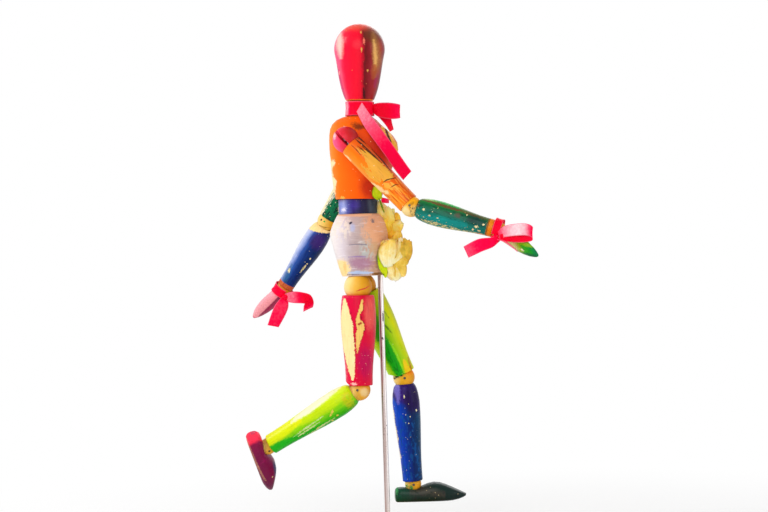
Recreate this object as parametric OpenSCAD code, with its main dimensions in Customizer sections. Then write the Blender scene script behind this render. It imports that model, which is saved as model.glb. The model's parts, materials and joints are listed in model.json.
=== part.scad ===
// Artist's jointed wooden manikin on a rod stand, with tied ribbons and a sprig of flowers.
// The figure faces -Y, its left side is +X, and the rod stands on the Z axis.
// Every limb hangs along -Z in its own frame, whose origin is the centre of the ball above it.

/* [Stand] */
// Diameter of the round base
base_d = 82; // [66:1:120]
// Thickness of the base
base_h = 14; // [12:1:25]
// Radius of the rolled edge of the base
base_round = 5; // [3:0.5:6]
// Diameter of the support rod
rod_d = 3.2; // [2.6:0.1:3.6]
// Height of the rod between the base and the pelvis
rod_free = 150; // [146:1:200]
// Depth of the rod's hole in the base
rod_in_base = 10; // [6:1:11]
// Depth of the rod's hole in the pelvis
rod_in_pelvis = 18; // [12:1:24]
// How far the rod stands in front of the pelvis's axis
rod_offset = 11.7; // [10.5:0.1:12]

/* [Torso] */
// Width of the pelvis across the hips
pelvis_w = 44; // [42:1:50]
// Depth of the pelvis from front to back
pelvis_depth = 35.5; // [34:0.5:40]
// Height of the pelvis to its round seat
pelvis_h = 37; // [34:1:42]
// Diameter of the round waist piece
waist_d = 24; // [20:0.5:24.5]
// Height of the waist piece's straight side
waist_h = 8.4; // [7:0.2:12]
// Radius of the waist piece's domed top
waist_dome_r = 16; // [15:0.5:20]
// Width of the chest at the shoulders
chest_w = 38.2; // [35:0.2:38.4]
// Depth of the chest from front to back
chest_depth = 36.5; // [33:0.5:40]
// Height of the chest
chest_h = 49.3; // [46:0.5:54]
// Distance between the two shoulder balls
shoulder_w = 53.6; // [53.4:0.2:60]
// Height of the shoulder balls above the bottom of the chest
shoulder_h = 34.5; // [32:0.5:37]
// Diameter of the neck ball
neck_ball_d = 14.8; // [13:0.2:15.4]
// Gap between the chest and the head, where the neck ball shows
neck_gap = 9.6; // [8.6:0.2:11]
// How far the neck sits in front of the chest's axis
neck_forward = 0.8; // [0:0.1:1.2]
// Diameter of the head at its widest
head_d = 30.4; // [26:0.2:34]
// Height of the head
head_h = 46.2; // [42:0.2:52]
// Diameter of the flat under the head
head_foot_d = 17.4; // [16.2:0.2:18.6]

/* [Arms] */
// Diameter of the shoulder ball
shoulder_ball_d = 15.6; // [14.4:0.2:16.4]
// Distance from the shoulder to the elbow
upper_arm_l = 56; // [52:0.5:64]
// Greatest diameter of the upper arm
upper_arm_d = 14.2; // [13.8:0.1:14.4]
// Diameter of the upper arm at the elbow
upper_arm_end_d = 12.8; // [12.4:0.2:13.6]
// Diameter of the elbow ball
elbow_ball_d = 12.4; // [11.8:0.2:12.8]
// Distance from the elbow to the wrist
forearm_l = 53; // [50:0.5:62]
// Greatest diameter of the forearm
forearm_d = 15.2; // [14:0.2:16.4]
// Diameter of the forearm at the wrist
forearm_end_d = 10.4; // [10:0.2:11.2]
// Diameter of the wrist ball
wrist_ball_d = 9.8; // [9.2:0.2:10.2]
// Length of the hand from the wrist ball's centre to its tip
hand_l = 30; // [26:0.5:36]
// Width of the hand
hand_w = 11.6; // [10.4:0.2:13]
// Thickness of the hand
hand_t = 6; // [5:0.2:7]

/* [Legs] */
// Distance between the two hip balls
hip_w = 27; // [26:0.5:29]
// How far the hip balls sit behind the pelvis's axis
hip_back = 0.6; // [0:0.1:1.5]
// How far the hip balls' centres lie below the pelvis
hip_drop = 6.5; // [6:0.1:7]
// Diameter of the hip ball
hip_ball_d = 16.6; // [16:0.2:17]
// Distance from the hip to the knee
thigh_l = 61; // [56:0.5:62]
// Greatest diameter of the thigh
thigh_d = 21; // [20:0.2:21.4]
// Diameter of the thigh at the knee
thigh_end_d = 16; // [14.6:0.2:16.6]
// Diameter of the knee ball
knee_ball_d = 13.2; // [12.6:0.2:13.8]
// Distance from the knee to the ankle
shin_l = 65.5; // [60:0.5:66]
// Greatest diameter of the shin
shin_d = 16.6; // [15:0.2:17.6]
// Diameter of the shin at the ankle
shin_end_d = 12.2; // [11:0.2:12.8]
// Diameter of the ankle ball
ankle_ball_d = 10; // [9.4:0.2:10.4]
// Height of the ankle ball's centre above the sole
ankle_h = 10.6; // [9.8:0.2:12]
// Length of the foot
foot_l = 43.4; // [38:0.2:48]
// Width of the foot
foot_w = 15; // [13:0.2:17]

/* [Joints] */
// Gap between a ball and the socket it sits in
ball_gap = 0.2; // [0.15:0.05:0.3]
// Share of the hip ball's radius at which the thigh's rim sits
thigh_seat = 0.58; // [0.5:0.02:0.64]
// Diameter of the cross pins in the balls
pin_d = 1.5; // [1.2:0.1:1.8]
// Width of the saw slot in each ball
slot_w = 1.8; // [1.7:0.1:2.2]
// Diameter of the cross pin inside the pelvis
pelvis_pin_d = 2; // [1.6:0.1:2.4]
// Wire of the springs
wire_d = 0.7; // [0.5:0.1:0.8]
// Outer diameter of the spring coils
coil_d = 4; // [3.4:0.2:4.4]
// Diameter of the bores that the springs run in
bore_d = 4.8; // [4.6:0.1:5]

/* [Ribbons and flowers] */
// Width of the ribbons
ribbon_w = 6.8; // [5:0.2:7.6]
// Thickness of the ribbons
ribbon_t = 0.4; // [0.3:0.05:0.6]
// Length of the longest petal
petal_l = 16; // [12:0.5:17]
// Thickness of a petal
petal_t = 0.6; // [0.4:0.1:0.9]

/* [Pose] */
// Waist turn, waist bend, neck turn and head nod in degrees
torso_pose = [-10.6, 1.6, 0, 0]; // [-20:0.1:20]
// Right arm: swing, raise, elbow turn, elbow bend, wrist turn, wrist bend
right_arm_pose = [-45, 0, 7, -30, 40, 23]; // [-90:1:90]
// Left arm, in the same order
left_arm_pose = [32, 5, -23, 4.5, -12, 18]; // [-90:1:90]
// Right leg: hip turn, swing, knee turn, knee bend, ankle turn, ankle bend
right_leg_pose = [-8, 1, 3, 59, 40, 17]; // [-60:1:60]
// Left leg, in the same order
left_leg_pose = [15, -23, -7, 19.5, 0, 3.5]; // [-60:1:60]

/* [Hidden] */
right = -1;
left = 1;
smooth = 96;
hull_smooth = 32;

// Moves and turns as matrices, so that each limb carries what hangs from it
function shift(v) = [[1, 0, 0, v[0]], [0, 1, 0, v[1]], [0, 0, 1, v[2]], [0, 0, 0, 1]];
function turn_x(a) = [[1, 0, 0, 0], [0, cos(a), -sin(a), 0], [0, sin(a), cos(a), 0], [0, 0, 0, 1]];
function turn_y(a) = [[cos(a), 0, sin(a), 0], [0, 1, 0, 0], [-sin(a), 0, cos(a), 0], [0, 0, 0, 1]];
function turn_z(a) = [[cos(a), -sin(a), 0, 0], [sin(a), cos(a), 0, 0], [0, 0, 1, 0], [0, 0, 0, 1]];
function arm_pose(side) = side == right ? right_arm_pose : left_arm_pose;
function leg_pose(side) = side == right ? right_leg_pose : left_leg_pose;

// Torso frames
seat_gap = 0.2;
bend_z = waist_h - sqrt(pow(waist_dome_r, 2) - pow(waist_d / 2, 2));
chest_lift = waist_h + 0.4;
neck_z = chest_h + neck_gap / 2;
function pelvis_m() = shift([0, rod_offset, base_h + rod_free]);
function waist_m() = pelvis_m() * shift([0, 0, pelvis_h + seat_gap]) * turn_z(torso_pose[0]);
function chest_m() = waist_m() * shift([0, 0, bend_z]) * turn_x(torso_pose[1])
    * shift([0, 0, chest_lift - bend_z]);
function neck_m() = chest_m() * shift([0, -neck_forward, neck_z]) * turn_z(torso_pose[2]);
function head_m() = neck_m() * turn_x(torso_pose[3]);

// Arm frames
function shoulder_m(side) = chest_m() * shift([side * shoulder_w / 2, 0, shoulder_h])
    * turn_x(arm_pose(side)[0]);
function upper_arm_m(side) = shoulder_m(side) * turn_y(-side * arm_pose(side)[1]);
function elbow_m(side) = upper_arm_m(side) * shift([0, 0, -upper_arm_l]) * turn_z(arm_pose(side)[2]);
function forearm_m(side) = elbow_m(side) * turn_x(arm_pose(side)[3]);
function wrist_m(side) = forearm_m(side) * shift([0, 0, -forearm_l]) * turn_z(arm_pose(side)[4]);
function hand_m(side) = wrist_m(side) * turn_x(arm_pose(side)[5]);

// Leg frames
function hip_m(side) = pelvis_m() * shift([side * hip_w / 2, hip_back, -hip_drop])
    * turn_z(leg_pose(side)[0]);
function thigh_m(side) = hip_m(side) * turn_x(leg_pose(side)[1]);
function knee_m(side) = thigh_m(side) * shift([0, 0, -thigh_l]) * turn_z(leg_pose(side)[2]);
function shin_m(side) = knee_m(side) * turn_x(leg_pose(side)[3]);
function ankle_m(side) = shin_m(side) * shift([0, 0, -shin_l]) * turn_z(leg_pose(side)[4]);
function foot_m(side) = ankle_m(side) * turn_x(leg_pose(side)[5]);

// Turned limb profile: how far along the limb each turned ring lies, as shares of its length
ring_shares = [0.02, 0.05, 0.1, 0.18, 0.3, 0.42, 0.54, 0.66, 0.78, 0.9];
edge = 0.35;
function limb_r(t, rim, belly, tail, at) = t < at
    ? rim + (belly - rim) * pow(sin(90 * t / at), 0.6)
    : tail + (belly - tail) * pow(0.5 + 0.5 * cos(180 * (t - at) / (1 - at)), 1.2);
function limb_outline(from, to, rim, belly, tail, at) = concat(
    [[0, -from], [rim - edge, -from], [rim, -from - edge]],
    [for (t = ring_shares) [limb_r(t, rim, belly, tail, at), -from - edge - t * (to - from - 2 * edge)]],
    [[tail, -to + edge], [tail - edge, -to], [0, -to]]);

// A turned limb between two balls, with a spherical socket at each end and a bore between them
module limb(len, ball_a, ball_b, seat_a, seat_b, rim, belly, tail, at) {
    difference() {
        rotate_extrude($fn = smooth) polygon(limb_outline(seat_a, len - seat_b, rim, belly, tail, at));
        sphere(r = ball_a / 2 + ball_gap, $fn = smooth);
        translate([0, 0, -len]) sphere(r = ball_b / 2 + ball_gap, $fn = smooth);
        translate([0, 0, -len]) cylinder(d = bore_d, h = len, $fn = 48);
    }
}

// A cut through the ball's axis that takes the corner off the rim on one side
module corner_cut(reach, angle) {
    rotate([angle, 0, 0]) translate([-reach / 2, -reach / 2, 0]) cube(reach);
}

// A ball with a saw slot for the hooks, a cross pin hole along X and a hole for the upper hook
module ball(d, slot_from, slot_to, hole_turn, pin_from, pin_to) {
    reach = d;
    room = pin_d / 2 + wire_d + 0.55;
    difference() {
        sphere(d = d, $fn = smooth);
        rotate([90, 0, 90]) linear_extrude(slot_w, center = true)
            polygon(concat([[0, 0]], [for (k = [0:4]) let (a = slot_from + (slot_to - slot_from) * k / 4)
                reach * [sin(a), -cos(a)]]));
        rotate([0, 90, 0]) cylinder(r = room, h = slot_w, center = true, $fn = 48);
        rotate([hole_turn, 0, 0]) cylinder(d = slot_w + 0.4, h = d, $fn = 32);
        translate([pin_from, 0, 0]) rotate([0, 90, 0])
            cylinder(d = pin_d + 0.1, h = pin_to - pin_from, $fn = 32);
    }
}

// Cross pin along X, lying short of the ball's skin at each open end
pin_recess = 0.5;
module cross_pin(from, to) {
    translate([from, 0, 0]) rotate([0, 90, 0]) cylinder(d = pin_d, h = to - from, $fn = 32);
}

// Hook of a spring: a ring round a pin in the YZ plane, with its shank along +Z
hook_side = slot_w / 4;
module hook(side, shank, pin = pin_d) {
    ring = pin / 2 + wire_d / 2 + 0.15;
    translate([side * hook_side, 0, 0]) {
        rotate([0, 90, 0]) rotate_extrude($fn = 32) translate([ring, 0]) circle(d = wire_d, $fn = 16);
        translate([0, 0, ring]) cylinder(d = wire_d, h = shank - ring, $fn = 16);
    }
}

// Close-wound coil of a spring, from z = 0 up
module coil(len) {
    turns = floor((len - wire_d) / (wire_d * 2.2));
    pitch = (len - wire_d) / turns;
    rotate_extrude($fn = 48) {
        square([coil_d / 2 - wire_d / 2, len]);
        for (k = [0:turns]) translate([coil_d / 2 - wire_d / 2, wire_d / 2 + k * pitch])
            circle(d = wire_d, $fn = 16);
    }
}

module base() {
    color("burlywood") difference() {
        rotate_extrude($fn = smooth) {
            square([base_d / 2 - base_round, base_h]);
            square([base_d / 2 - 1, base_h - base_round]);
            translate([base_d / 2 - base_round, base_h - base_round]) circle(r = base_round, $fn = 64);
        }
        translate([0, 0, base_h - rod_in_base]) cylinder(d = rod_d + 0.06, h = base_h, $fn = 48);
        translate([0, 0, -base_h]) cylinder(d = 2 * base_d, h = base_h);
    }
}

module support_rod() {
    rod_l = rod_in_base + rod_free + rod_in_pelvis - 0.5;
    color("silver") translate([0, 0, base_h - rod_in_base + 0.1]) cylinder(d = rod_d, h = rod_l, $fn = 48);
}

// Carved block: rounded outlines stacked along Z, each [height, half width, front, back]
module carved(rings, power, n) {
    points = [for (r = rings, k = [0:n - 1]) let (a = 360 * (k + 0.5) / n, c = cos(a), s = sin(a))
        [r[1] * sign(c) * pow(abs(c), 2 / power), (s < 0 ? r[2] : r[3]) * sign(s) * pow(abs(s), 2 / power), r[0]]];
    top = (len(rings) - 1) * n;
    polyhedron(points, concat([[for (k = [0:n - 1]) k]], [[for (k = [n - 1:-1:0]) top + k]],
        [for (i = [0:len(rings) - 2], k = [0:n - 1]) let (j = i * n, m = (k + 1) % n)
            each [[j + k, j + n + k, j + n + m], [j + k, j + n + m, j + m]]]), convexity = 4);
}

// Pelvis outline: height, half width, front and back as shares of the whole
pelvis_rings = [[0, 0.865, 0.77, 0.585], [0.022, 0.89, 0.805, 0.62], [0.16, 0.925, 0.86, 0.71],
    [0.32, 0.955, 0.91, 0.8], [0.48, 0.98, 0.955, 0.885], [0.6, 0.997, 0.985, 0.945], [0.68, 1, 0.985, 0.975],
    [0.75, 0.975, 0.965, 0.945], [0.84, 0.915, 0.925, 0.87], [0.92, 0.83, 0.85, 0.79], [0.97, 0.74, 0.77, 0.74],
    [0.995, 0.61, 0.705, 0.71], [1, 0.565, 0.695, 0.695]];
module pelvis() {
    mid = pelvis_depth / 2;
    pin_z = pelvis_h - 15;
    color("gainsboro") multmatrix(pelvis_m()) difference() {
        carved([for (r = pelvis_rings) [r[0] * pelvis_h, r[1] * pelvis_w / 2, r[2] * mid, r[3] * mid]], 2.9, 56);
        for (side = [right, left]) translate([side * hip_w / 2, hip_back, -hip_drop]) {
            sphere(r = hip_ball_d / 2 + ball_gap, $fn = smooth);
            cylinder(d = bore_d, h = hip_drop + pin_z + 3.5, $fn = 48);
        }
        translate([0, -rod_offset, -1]) cylinder(d = rod_d + 0.2, h = rod_in_pelvis + 1, $fn = 48);
        translate([0, 0, pin_z - 4]) cylinder(d = bore_d, h = pelvis_h, $fn = 48);
        translate([0, 0, pelvis_h - spigot_h - 0.2]) cylinder(d = spigot_d + 0.4, h = pelvis_h, $fn = 64);
        translate([-hip_w / 2 - 3.6, hip_back / 2, pin_z]) rotate([0, 90, 0])
            cylinder(d = pelvis_pin_d + 0.1, h = hip_w + 7.2, $fn = 32);
    }
}

// Cross pin in the pelvis that the torso spring and both hip springs hook on
module pelvis_pin() {
    color("dimgray") multmatrix(pelvis_m()) translate([-hip_w / 2 - 3.5, hip_back / 2, pelvis_h - 15])
        rotate([0, 90, 0]) cylinder(d = pelvis_pin_d, h = hip_w + 7, $fn = 32);
}

spigot_d = 12;
spigot_h = 3;
module waist_piece() {
    color("slateblue") multmatrix(waist_m()) difference() {
        union() {
            translate([0, 0, -spigot_h]) cylinder(d = spigot_d, h = spigot_h + 1, $fn = 64);
            intersection() {
                cylinder(d = waist_d, h = 2 * waist_dome_r, $fn = smooth);
                translate([0, 0, bend_z]) sphere(r = waist_dome_r, $fn = smooth);
            }
        }
        translate([0, 0, -spigot_h - 1]) cylinder(d = bore_d, h = 3 * waist_dome_r, $fn = 48);
    }
}

// Chest outline: height, half width, front and back as shares of the whole
chest_rings = [[0, 0.735, 0.347, 0.364], [0.08, 0.795, 0.386, 0.385], [0.2, 0.86, 0.447, 0.406],
    [0.36, 0.93, 0.526, 0.426], [0.5, 0.98, 0.596, 0.441], [0.6, 1, 0.641, 0.452], [0.69, 1.005, 0.624, 0.457],
    [0.77, 0.975, 0.554, 0.457], [0.85, 0.89, 0.444, 0.448], [0.91, 0.765, 0.35, 0.416], [0.96, 0.61, 0.291, 0.351],
    [0.99, 0.48, 0.24, 0.268], [1, 0.43, 0.22, 0.22]];
module chest() {
    color("orangered") multmatrix(chest_m()) difference() {
        carved([for (r = chest_rings) [r[0] * chest_h, r[1] * chest_w / 2, r[2] * chest_depth, r[3] * chest_depth]],
            2.6, 56);
        translate([0, 0, bend_z - chest_lift]) sphere(r = waist_dome_r + ball_gap, $fn = smooth);
        translate([0, -neck_forward, neck_z]) sphere(r = neck_ball_d / 2 + ball_gap, $fn = smooth);
        for (side = [right, left]) translate([side * shoulder_w / 2, 0, shoulder_h])
            sphere(r = shoulder_ball_d / 2 + ball_gap, $fn = smooth);
        translate([-shoulder_w / 2, 0, shoulder_h]) rotate([0, 90, 0])
            cylinder(d = bore_d, h = shoulder_w, $fn = 48);
        cylinder(d = bore_d, h = chest_h, $fn = 48);
    }
}

module neck_ball() {
    color("burlywood") multmatrix(neck_m()) difference() {
        sphere(d = neck_ball_d, $fn = smooth);
        cylinder(d = bore_d - 1.4, h = 2 * neck_ball_d, center = true, $fn = 32);
    }
}

// Egg-shaped head: a ball above a slightly full cone that meets it smoothly
head_ball_z = neck_gap / 2 + head_h - head_d / 2;
module head() {
    foot = neck_gap / 2;
    rise = head_ball_z - foot;
    lean = asin((head_d - head_foot_d) / 2 / rise);
    cheek = [head_d / 2 * cos(lean), head_ball_z - head_d / 2 * sin(lean)];
    color("crimson") multmatrix(head_m()) difference() {
        rotate_extrude($fn = smooth) {
            polygon(concat([[0, foot], [head_foot_d / 2 - 0.8, foot]],
                [for (t = [0:0.125:1]) [cheek[0] * t + head_foot_d / 2 * (1 - t) + 6 * t * pow(1 - t, 2),
                    cheek[1] * t + (foot + 0.8) * (1 - t)]], [[0, head_ball_z]]));
            translate([0, head_ball_z]) intersection() {
                circle(d = head_d, $fn = smooth);
                translate([0, -head_d]) square(2 * head_d);
            }
        }
        sphere(r = neck_ball_d / 2 + ball_gap, $fn = smooth);
        cylinder(d = bore_d - 1.4, h = head_pin_z + 3, $fn = 32);
        translate([-head_foot_d / 2 + 2, 0, head_pin_z]) rotate([0, 90, 0])
            cylinder(d = pin_d + 0.1, h = head_foot_d - 4, $fn = 32);
    }
}

// Cross pin in the head that the top of the torso spring hooks on
head_pin_z = 13;
module head_pin() {
    color("dimgray") multmatrix(head_m()) translate([0, 0, head_pin_z])
        cross_pin(-head_foot_d / 2 + 2.1, head_foot_d / 2 - 2.1);
}

// Springs inside the body
module torso_spring() {
    color("lightsteelblue") {
        multmatrix(pelvis_m() * shift([0, hip_back / 2, pelvis_h - 15])) hook(0, 12, pelvis_pin_d);
        multmatrix(chest_m()) {
            translate([0, hip_back / 2, -12]) cylinder(d = wire_d, h = 21, $fn = 16);
            translate([0, 0, 8]) coil(18);
            translate([0, -0.5, 24]) cylinder(d = wire_d, h = neck_z - 20, $fn = 16);
        }
        multmatrix(head_m() * shift([0, 0, head_pin_z])) rotate([180, 0, 0]) hook(0, 12);
    }
}

module shoulder_spring() {
    color("lightsteelblue") {
        multmatrix(chest_m() * shift([0, 0, shoulder_h])) {
            translate([5, 0, 0]) rotate([0, 90, 0]) coil(9);
            translate([-13, 1.1, 0]) rotate([0, 90, 0]) cylinder(d = wire_d, h = 19, $fn = 16);
            translate([-12.6, -1.3, 0]) rotate([-90, 0, 0]) cylinder(d = wire_d, h = 2.6, $fn = 16);
        }
        for (side = [right, left]) multmatrix(shoulder_m(side))
            rotate([0, -side * 90, 0]) rotate([0, 0, 90]) hook(-1, shoulder_w / 2 - 12);
    }
}

module hip_spring(side) {
    pin_up = hip_drop + pelvis_h - 15;
    color("lightsteelblue") {
        multmatrix(pelvis_m() * shift([side * hip_w / 2, hip_back / 2, pelvis_h - 15]))
            rotate([180, 0, 0]) hook(0, 6, pelvis_pin_d);
        multmatrix(hip_m(side)) translate([0, 0, pin_up / 2 - 4]) coil(pin_up / 2 - 1);
        multmatrix(hip_m(side)) hook(1, pin_up / 2 - 3);
    }
}

module upper_arm_spring(side) {
    color("lightsteelblue") {
        multmatrix(upper_arm_m(side)) {
            rotate([0, 0, 90]) rotate([180, 0, 0]) hook(1, 15);
            translate([0, 0, -upper_arm_l + 14]) coil(upper_arm_l - 28);
        }
        multmatrix(elbow_m(side)) hook(1, 15);
    }
}

module thigh_spring(side) {
    color("lightsteelblue") {
        multmatrix(thigh_m(side)) {
            rotate([180, 0, 0]) hook(-1, 15);
            translate([0, 0, -thigh_l + 14]) coil(thigh_l - 28);
        }
        multmatrix(knee_m(side)) hook(1, 15);
    }
}

// Arms
module shoulder_ball(side) {
    color("crimson") multmatrix(shoulder_m(side)) rotate([0, 0, -side * 90])
        ball(shoulder_ball_d, -14, 176, 90, -shoulder_ball_d, shoulder_ball_d);
}

module shoulder_pin(side) {
    half = shoulder_ball_d / 2 - pin_recess;
    color("dimgray") multmatrix(shoulder_m(side)) rotate([0, 0, 90]) cross_pin(-half, half);
}

module upper_arm(side) {
    color("darkorange") multmatrix(upper_arm_m(side))
        limb(upper_arm_l, shoulder_ball_d, elbow_ball_d, 4.6, 2.3, 6.8, upper_arm_d / 2,
            upper_arm_end_d / 2, 0.4);
}

module elbow_ball(side) {
    color("gold") multmatrix(elbow_m(side))
        ball(elbow_ball_d, -64, 24, 0, -elbow_ball_d, elbow_ball_d);
}

module elbow_pin(side) {
    half = elbow_ball_d / 2 - pin_recess;
    color("dimgray") multmatrix(elbow_m(side)) cross_pin(-half, half);
}

module forearm(side) {
    color(side == right ? "darkgreen" : "navy") multmatrix(forearm_m(side))
        limb(forearm_l, elbow_ball_d, wrist_ball_d, 4, 2.6, 5.4, forearm_d / 2, forearm_end_d / 2, 0.26);
}

module wrist_ball(side) {
    color("goldenrod") multmatrix(wrist_m(side))
        ball(wrist_ball_d, -50, 50, 0, -wrist_ball_d, wrist_ball_d);
}

module wrist_pin(side) {
    half = wrist_ball_d / 2 - pin_recess;
    color("dimgray") multmatrix(wrist_m(side)) cross_pin(-half, half);
}

// Hand outline along its length: share of the length, of the width and of the thickness
hand_rings = [[0.1, 0.74, 1.36], [0.13, 0.78, 1.4], [0.2, 0.84, 1.22], [0.3, 0.94, 1.05], [0.43, 1, 0.98],
    [0.57, 0.97, 0.92], [0.7, 0.86, 0.82], [0.83, 0.64, 0.68], [0.93, 0.38, 0.48], [0.985, 0.19, 0.27], [1, 0.08, 0.12]];
module hand(side) {
    color(side == right ? "forestgreen" : "pink") multmatrix(hand_m(side)) difference() {
        rotate([180, 0, 0]) carved([for (r = hand_rings)
            [r[0] * hand_l, r[1] * hand_w / 2, r[2] * hand_t / 2, r[2] * hand_t / 2]], 2.2, 28);
        sphere(r = wrist_ball_d / 2 + ball_gap, $fn = smooth);
    }
}

// Legs
module hip_ball(side) {
    color("gold") multmatrix(hip_m(side))
        ball(hip_ball_d, -66, 50, 0, side == right ? -5 : -hip_ball_d, side == right ? hip_ball_d : 5);
}

module hip_pin(side) {
    blind = 4.9;
    open = hip_ball_d / 2 - pin_recess;
    color("dimgray") multmatrix(hip_m(side))
        cross_pin(side == right ? -blind : -open, side == right ? open : blind);
}

module thigh(side) {
    color(side == right ? "crimson" : "yellowgreen") multmatrix(thigh_m(side)) difference() {
        limb(thigh_l, hip_ball_d, knee_ball_d, thigh_seat * hip_ball_d / 2, 2.6, 9.4, thigh_d / 2,
            thigh_end_d / 2, 0.27);
        translate([0, 0, -thigh_l]) corner_cut(60, -90 - 56);
    }
}

module knee_ball(side) {
    color("gold") multmatrix(knee_m(side))
        ball(knee_ball_d, -10, 84, 0, -knee_ball_d, knee_ball_d);
}

module knee_pin(side) {
    half = knee_ball_d / 2 - pin_recess;
    color("dimgray") multmatrix(knee_m(side)) cross_pin(-half, half);
}

module shin(side) {
    color(side == right ? "yellowgreen" : "mediumblue") multmatrix(shin_m(side)) difference() {
        limb(shin_l, knee_ball_d, ankle_ball_d, 4, 2, 5.8, shin_d / 2, shin_end_d / 2, 0.2);
        corner_cut(60, -90 + 50);
    }
}

module ankle_ball(side) {
    color("goldenrod") multmatrix(ankle_m(side))
        ball(ankle_ball_d, -50, 50, 0, -ankle_ball_d, ankle_ball_d);
}

module ankle_pin(side) {
    half = ankle_ball_d / 2 - pin_recess;
    color("dimgray") multmatrix(ankle_m(side)) cross_pin(-half, half);
}

// Foot outline from heel to toe: forward of the ankle, half width, depth of the sole and height
foot_rings = [[-11.2, 4.2, 2.4, 2.4], [-10.9, 4.9, 3.4, 3.9], [-9.8, 5.5, 4.1, 4.9], [-7, 5.9, 4.2, 5.1],
    [-3, 6.2, 4.2, 4.8], [2, 6.7, 4.2, 4.5], [6, 7.1, 4.2, 5.5], [10, 7.4, 4.2, 6.9], [14, 7.5, 4.2, 7.6],
    [18, 7.5, 4.2, 7.2], [22, 7.2, 4.1, 5.9], [26, 6.5, 3.8, 4.2], [30, 5.3, 3.1, 2.4], [33, 3.6, 2.2, 1],
    [34.6, 1.9, 1.5, 0.3], [35, 1, 1, 0.1]];
foot_line = -7;
module foot(side) {
    stretch = (foot_l - 11.2) / 35;
    color(side == right ? "maroon" : "darkslategray") multmatrix(foot_m(side)) difference() {
        translate([0, 0, foot_line]) rotate([90, 0, 0]) carved([for (r = foot_rings)
            [r[0] * (r[0] > 0 ? stretch : 1), r[1] * foot_w / 15, r[2], r[3]]], 2.7, 32);
        sphere(r = ankle_ball_d / 2 + ball_gap, $fn = smooth);
        translate([-foot_l, -foot_l, -ankle_h - foot_l]) cube([2 * foot_l, 2 * foot_l, foot_l]);
    }
}

// Soft ribbon: a flat strip along a smooth path, wide along its own across direction
function blend_at(p, i, t) = let (a = p[max(i - 1, 0)], b = p[i], c = p[i + 1], d = p[min(i + 2, len(p) - 1)])
    0.5 * (2 * b + (c - a) * t + (2 * a - 5 * b + 4 * c - d) * t * t + (3 * b - a - 3 * c + d) * t * t * t);
function smooth_path(p, steps) = concat(
    [for (i = [0:len(p) - 2], k = [0:steps - 1]) blend_at(p, i, k / steps)], [p[len(p) - 1]]);
function unit(v) = v / norm(v);
function heading(p, i) = unit(p[min(i + 1, len(p) - 1)] - p[max(i - 1, 0)]);

// The across vectors give the ribbon's direction and its width in mm where ribbon_w is 6.8
module ribbon(path, across, steps = 4) {
    p = smooth_path(path, steps);
    a = smooth_path(across, steps);
    n = len(p);
    rings = [for (i = [0:n - 1]) let (s = a[i] * ribbon_w / 13.6, h = unit(cross(s, heading(p, i))) * ribbon_t / 2)
        [p[i] + s + h, p[i] + s - h, p[i] - s - h, p[i] - s + h]];
    polyhedron([for (r = rings) each r], concat(
        [for (i = [0:n - 2], k = [0:3]) let (j = 4 * i, m = (k + 1) % 4)
            each [[j + k, j + 4 + k, j + 4 + m], [j + k, j + 4 + m, j + m]]],
        [[0, 1, 2], [0, 2, 3], [4 * n - 2, 4 * n - 3, 4 * n - 4], [4 * n - 1, 4 * n - 2, 4 * n - 4]]),
        convexity = 6);
}

// Band of ribbon round a round limb, its two ends hidden in the knot
module ribbon_band(r, knot_at, w) {
    steps = 24;
    turns = [for (k = [0:steps]) knot_at + 6 + 348 * k / steps];
    ribbon([for (a = turns) r * [cos(a), sin(a), 0]], [for (a = turns) [0, 0, w * 6.8 / ribbon_w]], 1);
}

// Small tied knot, taller than it is deep
module knot(r, h) {
    scale([1, 1, h / r / 2]) sphere(r = r, $fn = 20);
}

module neck_ribbon() {
    r = neck_ball_d / 2 + 1.2;
    color("red") multmatrix(chest_m()) {
        translate([0, -neck_forward, neck_z]) ribbon_band(r, -88, 8.4);
        translate([0.4, -r - neck_forward - 1.6, neck_z]) knot(2.4, 6.4);
        // Bow loop towards the front
        translate([0, 0, neck_z - 54.1]) ribbon([[-0.9, -9.6, 54], [-1, -12.8, 53.3], [0.5, -18.4, 52.7], [3.1, -23, 52.5], [5.9, -24.3, 52.5],
            [7.7, -21.2, 52.7], [7.1, -15.6, 53], [4.6, -11.6, 53.4], [2, -9.8, 53.9]],
            [[0, 0, 5.4], [0, 0, 8.3], [0, 0, 9.8], [0, 0, 9], [0, 0, 7.8], [0, 0, 8], [0, 0, 8.2], [0, 0, 6.3],
            [0, 0, 4.2]]);
        // Short tail down the front of the chest, then the long stiff one past the right arm
        translate([0, 0, neck_z - 54.1]) ribbon([[1.6, -10.4, 53], [3.6, -13, 50.8], [5.8, -15.8, 47.8], [7.4, -17.2, 44.4], [8.2, -18.4, 41.2]],
            [[-2.6, 1.7, -2.5], [-3.6, 3, -2.2], [-4.4, 3.6, -2.4], [-5, 1.8, -2], [-5.4, 0.8, -1.6]]);
        translate([0, 0, neck_z - 54.1]) ribbon([[-8.1, -2.8, 54.8], [-13, -6.4, 50.8], [-17, -10.8, 45.4], [-19.4, -15.8, 39.6], [-17.6, -23.6, 28.6],
            [-13.6, -29.2, 19.2], [-10.6, -33, 13.4]],
            [[1.1, -2.8, 5.7], [1.4, -3.2, 6], [1.4, -4.4, 5.4], [1.6, -5.2, 5], [3, -5, 4.8], [3.1, -5, 4.8],
            [2.3, -4.4, 5.2]]);
    }
}

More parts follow.
